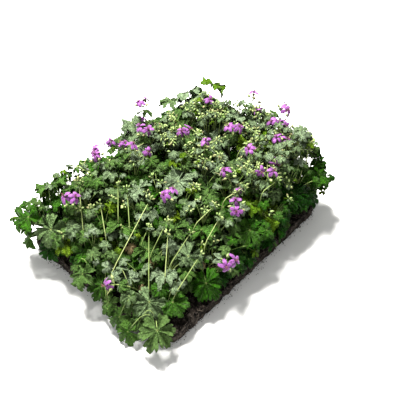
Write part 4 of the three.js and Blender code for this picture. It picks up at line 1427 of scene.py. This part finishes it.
# Five pointed sepals round a bud make its ridges. Its blush fades from the tip to the base.
bud = {"radius": 2.8, "length": 9.5, "ridges": 5, "ridgeDepth": 0.15, "blushedShare": 0.45,
       "blushed": (0.2, 0.9), "plain": (0, 0.2), "fade": (1, 0.1),
       "profile": [(-0.02, 0), (0.03, 0.5), (0.2, 0.92), (0.42, 1.0), (0.66, 0.74), (0.88, 0.28), (1.0, 0)]}
calyx = {"base": 0.75, "sepals": 5, "ridgeDepth": 0.1, "tone": (0.2, 0.7),
         "profile": [(-0.78, 0), (-0.74, 0.35), (-0.58, 0.8), (-0.38, 1.0), (-0.2, 0.85), (-0.06, 0.5),
                     (-0.03, 0)],
         "sepal": [(-0.3, 0.8, 0), (-0.25, 0.95, 0.9), (-0.12, 1.4, 0.85), (-0.06, 2.0, 0.4),
                   (-0.08, 2.5, 0)]}
beak = {"from": 0.8, "length": 11, "profile": [(0, 0), (0.1, 1.0), (0.5, 0.7), (0.95, 0.4), (1.1, 0)]}
cluster = {"parts": 5, "singleLean": 0.25, "faceOut": 0.35, "besidePair": (1, 2.1, 4.6), "fruits": 2,
           "fruitLean": 0.95, "budLean": 1.25, "budLeanVary": 0.15}
bract = {"radius": 15, "reach": 6, "lean": 1.35, "faceOut": 0.25, "tone": (0.5, 0.85)}
mainStem = {"radii": (1.5, 1.15), "sides": 7, "tone": (0.1, 0.7), "seed": 21}


def petalForm(rand):
    rim, values = [], []
    for k in range(petal["columns"]):
        phi = k * turnOnce / petal["columns"]
        x = petal["middle"] + petal["halfLength"] * math.cos(phi)
        y = petal["halfWidth"] * math.sin(phi) * (1 - petal["narrow"] * smooth(1 - x / petal["narrowFrom"]))
        x -= petal["nick"] * (k == 0) + rand.uniform(-petal["rough"], petal["rough"])
        rim.append((x, y))
        values.append({"across": y / petal["halfWidth"], "lobe": 0})
    reflex = rand.uniform(*petal["reflex"])
    tilt = rand.uniform(-petal["tilt"], petal["tilt"])
    where = Vector((rand.uniform(0, noiseSpan), 0, 0))

    def height(x, y, across, lobe):
        ruffle = noise.noise(where + Vector((x, y, 0)) * petal["ruffleScale"]) * petal["ruffle"] * x
        return (petal["rise"] * math.sin(min(1, x) * petal["riseTurn"]) - reflex * x ** petal["reflexPower"]
                - petal["cup"] * y * y + tilt * y + ruffle)

    return thinBlade(rim, petal["rings"], (petal["middle"], 0), petal["thickness"], height, values)


def flowerForm(rand, name):
    bm = bmesh.new()
    holder = bpy.data.meshes.new("petalHolder")
    for k in range(flower["petals"]):
        one = petalForm(rand)
        turnVary, leanVary, shadeVary = flower["turnVary"], flower["leanVary"], flower["shadeVary"]
        turned = Matrix.Rotation(k * turnOnce / flower["petals"] + rand.uniform(-turnVary, turnVary), 4, "Z")
        leaned = Matrix.Rotation(rand.uniform(-leanVary, leanVary), 4, "Y")
        bmesh.ops.transform(one, matrix=turned @ leaned, verts=one.verts)
        layer = one.verts.layers.float["tone"]
        shade = rand.uniform(-shadeVary, shadeVary)
        for vert in one.verts:
            vert[layer] = shade
        one.to_mesh(holder)
        one.free()
        bm.from_mesh(holder)
    for k in range(stamens["count"]):
        angle = k * turnOnce / stamens["count"]
        lean = rand.uniform(*stamens["lean"])
        foot = vec((stamens["foot"] * math.cos(angle), stamens["foot"] * math.sin(angle), 0))
        tip = vec((lean * math.cos(angle), lean * math.sin(angle), rand.uniform(*stamens["height"])))
        path = [foot + (tip - foot) * at for at, _ in stamens["profile"]]
        radii = vec([r for _, r in stamens["profile"]])
        stamp(bm, tubeTable(vec(path) / mm, radii / mm, 4), 0.5, material=1)
    path = [(0, 0, h / mm) for h, _ in stamens["style"]]
    stamp(bm, tubeTable(path, vec([r for _, r in stamens["style"]]) / mm, 6), 0.1, material=1)
    return keepForm(bm, name)


flowerDice = random.Random(flower["seed"])
flowerForms = [flowerForm(flowerDice, f"flowerForm{k}") for k in range(flower["forms"])]


def placeBud(target, base, axis, length, radius, rand, columns=10):
    isBlushed = rand.random() < bud["blushedShare"]
    blush = rand.uniform(*(bud["blushed"] if isBlushed else bud["plain"]))
    table = turnedTable(vec(base), normed(vec(axis)), length, radius, bud["profile"], columns,
                        bud["ridges"], bud["ridgeDepth"])
    stamp(target, table, np.linspace(*bud["fade"], len(table))[:, None] * blush, material=1)


# An inflated calyx with its sepals spread, under an open flower.
def placeCalyx(target, tip, normal, rand):
    tip, normal = vec(tip), normed(vec(normal))
    length, radius = bud["length"], bud["radius"]
    table = turnedTable(tip, normal, length, radius, calyx["profile"], 10, calyx["sepals"],
                        calyx["ridgeDepth"])
    stamp(target, table, rand.uniform(*calyx["tone"]), material=1)
    ahead, left, _ = basisOf(normal, (1, 0, 0.2))
    for k in range(calyx["sepals"]):
        angle = (k + 0.5) * turnOnce / calyx["sepals"]
        out = ahead * math.cos(angle) + left * math.sin(angle)
        path = [tip + normal * length * at + out * radius * away for at, away, _ in calyx["sepal"]]
        stamp(target, tubeTable(path, [r for _, _, r in calyx["sepal"]], 5), 0.5, material=1)


def headParts(plan):
    pairLean = math.asin(flower["spacing"] / 2 / pedicel["flowerLength"])
    lean = pairLean if plan["flowerCount"] == 2 else cluster["singleLean"]
    parts = []
    for k in range(plan["flowerCount"]):
        along = leaning(plan["axis"], lean, plan["turn"] + k * math.pi)
        tip = add(plan["head"], along, pedicel["flowerLength"])
        normal = unit(add(plan["axis"], along, cluster["faceOut"]))
        parts.append({"kind": "flower", "tip": tip, "along": along, "normal": normal})
    closed = cluster["parts"] - plan["flowerCount"]
    for k in range(closed):
        beaked = plan["flowerCount"] == 1 and k < cluster["fruits"]
        side = cluster["besidePair"][k] if plan["flowerCount"] == 2 else (2 * k + 1) * (math.pi / closed)
        budLean = cluster["budLean"] + cluster["budLeanVary"] * math.sin(3 * k + plan["turn"])
        along = leaning(plan["axis"], cluster["fruitLean"] if beaked else budLean, plan["turn"] + side)
        parts.append({"kind": "fruit" if beaked else "bud", "along": along,
                      "tip": add(plan["head"], along, pedicel["budLength"])})
    return parts


def addPedicel(target, start, knee, end, radius, sides=5):
    path = bow(vec(start), vec(knee), vec(end), evenSteps(pedicel["steps"]))
    radii = [0] + [radius] * (pedicel["steps"] - 1) + [0]
    stamp(target, tubeTable(path, radii, sides), pedicel["tone"], material=0)


headDice = random.Random(mainStem["seed"])
for index, plan in enumerate(stems):
    name = f"{index + 1:02d}"
    bm = bmesh.new()
    rise = curve(plan["root"], plan["head"], stalkLean["flowerStem"], stalkSteps["flowerStem"])
    path = np.vstack([[plan["foot"]], rise])
    addStalk(bm, path, *mainStem["radii"], mainStem["sides"], headDice.uniform(*mainStem["tone"]), 0)
    petals = bmesh.new()
    for part in headParts(plan):
        base = add(plan["head"], plan["axis"], -pedicel["inStem"])
        knee = add(plan["head"], part["along"], pedicel["knee"])
        if part["kind"] == "flower":
            foot = add(part["tip"], part["normal"], -calyx["base"] * bud["length"])
            addPedicel(bm, base, knee, foot, pedicel["radius"])
            placeCalyx(bm, part["tip"], part["normal"], headDice)
            facing = normed(vec(part["normal"]) + vec(part["along"]) * flower["faceAlong"])
            turned = (math.cos(plan["turn"]), math.sin(plan["turn"]), 0.1)
            placeForm(petals, headDice.choice(flowerForms), part["tip"], basisOf(facing, turned),
                      flower["radius"], headDice.uniform(*flower["tone"]))
            continue
        addPedicel(bm, base, knee, part["tip"], pedicel["radius"])
        placeBud(bm, part["tip"], part["along"], bud["length"], bud["radius"], headDice)
        if part["kind"] == "fruit":
            end = add(part["tip"], part["along"], bud["length"] * beak["from"])
            path = [add(end, part["along"], beak["length"] * at) for at, _ in beak["profile"]]
            stamp(bm, tubeTable(path, [r for _, r in beak["profile"]], 6), 0.5, material=1)
    for side in (1, -1):
        along = leaning(plan["axis"], bract["lean"], plan["turn"] + side * math.pi / 2)
        middle = add(plan["bracts"], along, bract["reach"])
        normal = unit(add(plan["axis"], along, bract["faceOut"]))
        placeForm(bm, headDice.choice(bractForms), middle, basisOf(normal, along), bract["radius"],
                  headDice.uniform(*bract["tone"]), 2)
    makePiece(f"flowering_stem_{name}", bm, [stalkFinish, calyxFinish, bladeFinish],
              [f"flower_stem_{name}"])
    makePiece(f"open_flowers_{name}", petals, [petalFinish, stamenFinish], [f"petals_{name}"])
print("flower stems made")

shootLook = {
    "stalk": (0.95, 0.7), "sides": 5, "stalkTone": (0, 0.7), "seed": 31,
    "longStalk": (1.05, 0.75), "longSides": 6, "longTone": (0.3, 0.9), "longBuds": (3, 6),
    "flowerLean": (0.35, 0.9), "turnVary": 0.4, "flowerPedicel": (7, 11), "flowerKnee": 4,
    "faceShift": (-0.2, -0.2, 0.1), "calyxFrom": 6.5, "calyx": (6.8, 2.3), "pedicelEnd": 5,
    "flowerRadius": (10, 12.5), "flowerTone": (0.3, 0.7), "pedicels": (0.6, 0.45),
    "budLean": (0.15, 1.3), "budTurn": 0.9, "pedicel": (3.5, 8.5), "budKnee": 0.4, "budDroop": (-1.2, 0.3),
    "budLength": (5.0, 8.5), "budRadius": (1.3, 2.2), "bractLean": 1.25, "bractDrop": 3, "bractReach": 4,
    "bractFaceOut": 0.4, "bractRadius": (6, 11), "bractTone": (0.6, 0.98),
}


def placeHead(target, petals, one, rand):
    look = shootLook
    turn = rand.uniform(0, turnOnce)
    for k in range(one["flowers"]):
        lean = rand.uniform(*look["flowerLean"])
        turned = turn + k * math.pi + rand.uniform(-look["turnVary"], look["turnVary"])
        along = leaning(one["axis"], lean, turned)
        tip = vec(add(one["tip"], along, rand.uniform(*look["flowerPedicel"])))
        facing = normed(vec(along) + vec(look["faceShift"]))
        addPedicel(target, one["tip"], add(one["tip"], one["axis"], look["flowerKnee"]),
                   tip - facing * look["pedicelEnd"], look["pedicels"][0])
        placeBud(target, tip - facing * look["calyxFrom"], facing, *look["calyx"], rand, 5)
        basis = basisOf(facing, (math.cos(turn), math.sin(turn), 0.2))
        placeForm(petals, rand.choice(flowerForms), tip, basis, rand.uniform(*look["flowerRadius"]),
                  rand.uniform(*look["flowerTone"]))
    for k in range(one["buds"]):
        along = leaning(one["axis"], rand.uniform(*look["budLean"]), turn + look["budTurn"] + k * goldenAngle)
        length = rand.uniform(*look["pedicel"])
        tip = vec(add(one["tip"], along, length))
        knee = add(one["tip"], one["axis"], length * look["budKnee"])
        addPedicel(target, one["tip"], knee, tip, look["pedicels"][1], 3)
        placeBud(target, tip, vec(along) + vec((0, 0, rand.uniform(*look["budDroop"]))),
                 rand.uniform(*look["budLength"]), rand.uniform(*look["budRadius"]), rand, 5)
    for k in range(2):
        along = leaning(one["axis"], look["bractLean"], turn + k * math.pi)
        middle = add(add(one["tip"], one["axis"], -look["bractDrop"]), along, look["bractReach"])
        basis = basisOf(unit(add(one["axis"], along, look["bractFaceOut"])), along)
        placeForm(target, rand.choice(tinyForms), middle, basis, rand.uniform(*look["bractRadius"]),
                  rand.uniform(*look["bractTone"]), 2)


shootDice = random.Random(shootLook["seed"])
bm = bmesh.new()
morePetals = bmesh.new()
for one in sideShoots:
    path = curve(one["start"], one["tip"], stalkLean["side"], stalkSteps["shoot"])
    addStalk(bm, path, *shootLook["stalk"], shootLook["sides"], shootDice.uniform(*shootLook["stalkTone"]), 0)
    placeHead(bm, morePetals, one, shootDice)
makePiece("side_shoots", bm, [stalkFinish, calyxFinish, bladeFinish])
makePiece("more_open_flowers", morePetals, [petalFinish, stamenFinish])

bm = bmesh.new()
for one in barePlans:
    addStalk(bm, one["path"], *shootLook["longStalk"], shootLook["longSides"],
             shootDice.uniform(*shootLook["longTone"]), 0)
    placeHead(bm, bm, dict(one, flowers=0, buds=shootDice.randint(*shootLook["longBuds"])), shootDice)
makePiece("long_stems", bm, [stalkFinish, calyxFinish, bladeFinish])
print("side shoots and long stems made")


# Soil: "rough", "pushed" and "ragged" give the depth and the length of lumps, coarse and fine.
soilShape = {"columns": 380, "topRings": 34, "topEnd": 0.992, "crowding": 1.6, "sideRings": 13,
             "sideLevels": (0.95, 0.04), "under": (0.985, 0.6, 0.0), "cornerSteps": 24,
             "rough": [(2.4, 14), (1.2, 4.5)], "pushed": [(2.4, 11), (1.6, 4)], "ragged": (3.2, 32),
             "edgeDrop": 3.5, "edgeFrom": 0.93, "edgeOver": 0.07, "bulge": 1.5, "fractal": (1.0, 2.1, 4),
             "topTone": 0.1, "sideTone": 0.12}


def outlinePoints(count):
    l, w = slab["length"] / 2, slab["width"] / 2
    corners = [(l, w, slab["otherCorners"], 0), (-l, w, slab["otherCorners"], 90),
               (-l, -w, slab["frontCorner"], 180), (l, -w, slab["otherCorners"], 270)]
    dense = []
    for x, y, r, first in corners:
        cx, cy = x - math.copysign(r, x), y - math.copysign(r, y)
        for k in range(soilShape["cornerSteps"] + 1):
            a = math.radians(first + 90 * k / soilShape["cornerSteps"])
            dense.append((cx + r * math.cos(a), cy + r * math.sin(a)))
    dense.append(dense[0])
    dense = np.array(dense)
    lengths = np.concatenate([[0], np.cumsum(np.hypot(*np.diff(dense, axis=0).T))])
    at = np.linspace(0, lengths[-1], count, endpoint=False)
    return np.stack([np.interp(at, lengths, dense[:, 0]), np.interp(at, lengths, dense[:, 1])], 1)


def lumps(x, y, z, depth, length):
    return noise.fractal(Vector((x / length, y / length, z / length)), *soilShape["fractal"]) * depth


# One point of the slab's skin: a share of the way out on the top, or a level on the side.
def soilPoint(ax, ay, share, level):
    x, y = ax * share, ay * share
    if level is None:
        coarse, fine = soilShape["rough"]
        lift = lumps(x, y, 0, *coarse) + lumps(x, y, 9, *fine)
        drop = soilShape["edgeDrop"] * smooth((share - soilShape["edgeFrom"]) / soilShape["edgeOver"])
        return (x, y, groundAt(x, y) + lift - drop if share else groundAt(0, 0)), soilShape["topTone"] * lift
    if level == 0.0:
        return (x, y, 0), 0
    z = slab["depth"] * level
    coarse, fine = soilShape["pushed"]
    push = lumps(x, y, z, *coarse) + lumps(x, y, z, *fine) + lumps(x, y, 0, *soilShape["ragged"])
    bulge = soilShape["bulge"] * math.sin(level * math.pi)
    out = 1 + (push + bulge - soilShape["bulge"]) / math.hypot(ax, ay)
    return (ax * out, ay * out, z), soilShape["sideTone"] * push


around = outlinePoints(soilShape["columns"])
topShares = 1 - (1 - np.linspace(0, soilShape["topEnd"], soilShape["topRings"])) ** soilShape["crowding"]
rows = [(share, None) for share in topShares]
rows += [(1.0, level) for level in np.linspace(*soilShape["sideLevels"], soilShape["sideRings"])]
rows += [(share, 0.0) for share in soilShape["under"]]
table = np.zeros((len(rows), soilShape["columns"], 3))
soilTone = np.zeros((len(rows), soilShape["columns"]))
for r, (share, level) in enumerate(rows):
    for c, (ax, ay) in enumerate(around):
        table[r, c], soilTone[r, c] = soilPoint(ax, ay, share, level)
bm = bmesh.new()
stamp(bm, table, soilTone)
makePiece("soil", bm, [soilFinish], ["soil_slab"])

litter = {"seed": 8, "onTop": 0.5, "onSide": 0.8, "inward": 0.35, "aboveGround": 0.5, "sideLow": 1.5,
          "sideHigh": 2, "proud": 0.3, "floorHeight": 0.9}
crumb = {"count": 2800, "thrown": 13, "radius": (0.6, 2.0), "thrownRadius": (0.4, 1.2),
         "stretch": (0.6, 1.4), "rough": (0.7, 1.25), "clear": 0.05, "tone": (-0.15, 0.7)}
fibre = {"count": 1300, "length": (5, 17), "rise": (-0.3, 0.35), "outOfSide": 0.25, "curl": 0.35,
         "proud": 0.4, "lowest": 0.4, "radius": (0.22, 0.5), "tone": (0, 1),
         "profile": [(0, 0), (0.08, 0.7), (0.35, 1), (0.65, 1), (0.92, 0.6), (1, 0)]}
litterDice = random.Random(litter["seed"])


# A spot on the top near the edge, on the side, or on the floor beside it, and the way out from it.
def edgeSpot(rand, thrown=0):
    ax, ay = around[rand.randrange(len(around))]
    length = math.hypot(ax, ay)
    kind = rand.random()
    if kind < litter["onTop"]:
        share = 1 - rand.random() ** 2 * litter["inward"]
        x, y = ax * share, ay * share
        return (x, y, groundAt(x, y) + litter["aboveGround"]), (0, 0, 1)
    out = (ax / length, ay / length, 0)
    if kind < litter["onSide"] or thrown == 0:
        z = rand.uniform(litter["sideLow"], slab["depth"] - litter["sideHigh"])
        return (ax + out[0] * litter["proud"], ay + out[1] * litter["proud"], z), out
    away = rand.random() ** 2 * thrown
    return (ax + out[0] * away, ay + out[1] * away, litter["floorHeight"]), (0, 0, 1)


bm = bmesh.new()
for _ in range(crumb["count"]):
    (x, y, z), out = edgeSpot(litterDice, crumb["thrown"])
    r = litterDice.uniform(*crumb["radius" if z > 1 else "thrownRadius"])
    stretch = vec([litterDice.uniform(*crumb["stretch"]) for _ in range(3)])
    phi = np.arange(4) * turnOnce / 4
    ball = np.zeros((4, 4, 3))
    for row in range(4):
        a = row * math.pi / 3
        ball[row] = np.stack([math.sin(a) * np.cos(phi), math.sin(a) * np.sin(phi),
                              np.full(4, math.cos(a))], 1)
        if 0 < row < 3:
            ball[row] *= vec([[litterDice.uniform(*crumb["rough"])] for _ in range(4)])
    place = vec((x, y, max(z, r * stretch[2] + crumb["clear"])))
    stamp(bm, place + ball * r * stretch, litterDice.uniform(*crumb["tone"]))
makePiece("soil_crumbs", bm, [soilFinish])

bm = bmesh.new()
for _ in range(fibre["count"]):
    at, out = edgeSpot(litterDice)
    length = litterDice.uniform(*fibre["length"])
    heading = litterDice.uniform(0, turnOnce)
    along = vec((math.cos(heading), math.sin(heading), litterDice.uniform(*fibre["rise"])))
    if out[2] == 0:
        side = vec((-out[1], out[0], 0))
        along = (side * litterDice.uniform(-1, 1) + vec((0, 0, 1)) * litterDice.uniform(-1, 1)
                 + vec(out) * fibre["outOfSide"])
    along = normed(along)
    curl = normed(np.cross(along, vec(out)) + 1e-6) * litterDice.uniform(-fibre["curl"], fibre["curl"])
    path = [vec(at) + vec(out) * fibre["proud"] + along * length * (t - 0.5)
            + curl * length * (t - 0.5) ** 2 * 2 for t, _ in fibre["profile"]]
    if min(p[2] for p in path) < fibre["lowest"]:
        continue
    r = litterDice.uniform(*fibre["radius"])
    stamp(bm, tubeTable(path, [r * share for _, share in fibre["profile"]], 3),
          litterDice.uniform(*fibre["tone"]))
makePiece("soil_fibres", bm, [fibreFinish])
print("soil made")


# Stage, light and camera, in metres
floorLook = {"size": 8.0, "under": 0.0004, "low": (0.845, 0.845, 0.845, 1),
             "high": (0.875, 0.875, 0.875, 1)}
bm = bmesh.new()
bmesh.ops.create_grid(bm, x_segments=1, y_segments=1, size=floorLook["size"] / 2)
bmesh.ops.translate(bm, verts=bm.verts, vec=(0, 0, -floorLook["under"]))
mesh = bpy.data.meshes.new("floor")
bm.to_mesh(mesh)
bm.free()
floor = bpy.data.objects.new("floor", mesh)
bpy.context.scene.collection.objects.link(floor)
floorFinish, floorTree, floorShader = newMaterial("paleFloor", Roughness=0.8)
floorPatch = useGroup(floorTree, patches, (-600, 0), Scale=2.0, Detail=2.0, Low=0.0, High=1.0)
floorColour = mixColour(floorTree, (-300, 0), floorPatch.outputs[0], floorLook["low"], floorLook["high"])
floorTree.links.new(floorColour, floorShader.inputs["Base Color"])
mesh.materials.append(floorFinish)

lamps = {
    "key": {"at": (0.25, 0.95, 2.4), "size": 0.6, "power": 310, "colour": (1.0, 0.985, 0.94)},
    "fill": {"at": (-1.9, -0.6, 1.5), "size": 1.8, "power": 13, "colour": (1.0, 1.0, 0.98)},
}
studio = {"aim": (0, 0, 0.08), "sky": (1.0, 1.0, 0.97, 1), "strength": 0.47}
for name, look in lamps.items():
    lamp = bpy.data.lights.new(name, "AREA")
    lamp.size = look["size"]
    lamp.energy = look["power"]
    lamp.color = look["colour"]
    holder = bpy.data.objects.new(name, lamp)
    holder.location = look["at"]
    holder.rotation_euler = (Vector(studio["aim"]) - Vector(look["at"])).to_track_quat("-Z", "Y").to_euler()
    bpy.context.scene.collection.objects.link(holder)
world = bpy.data.worlds.new("studio")
world.use_nodes = True
sky = world.node_tree.nodes["Background"]
sky.inputs["Color"].default_value = studio["sky"]
sky.inputs["Strength"].default_value = studio["strength"]
bpy.context.scene.world = world
bpy.context.scene.view_settings.view_transform = "Standard"

outlook = {"at": (-0.649, -0.599, 0.998), "lens": 53.8, "sensor": 36, "shiftX": 0.0525, "shiftY": 0.07}
cameraData = bpy.data.cameras.new("camera")
cameraData.lens = outlook["lens"]
cameraData.sensor_width = outlook["sensor"]
cameraData.shift_x = outlook["shiftX"]
cameraData.shift_y = outlook["shiftY"]
camera = bpy.data.objects.new("camera", cameraData)
camera.location = outlook["at"]
camera.rotation_euler = (-Vector(outlook["at"])).to_track_quat("-Z", "Y").to_euler()
bpy.context.scene.collection.objects.link(camera)
bpy.context.scene.camera = camera
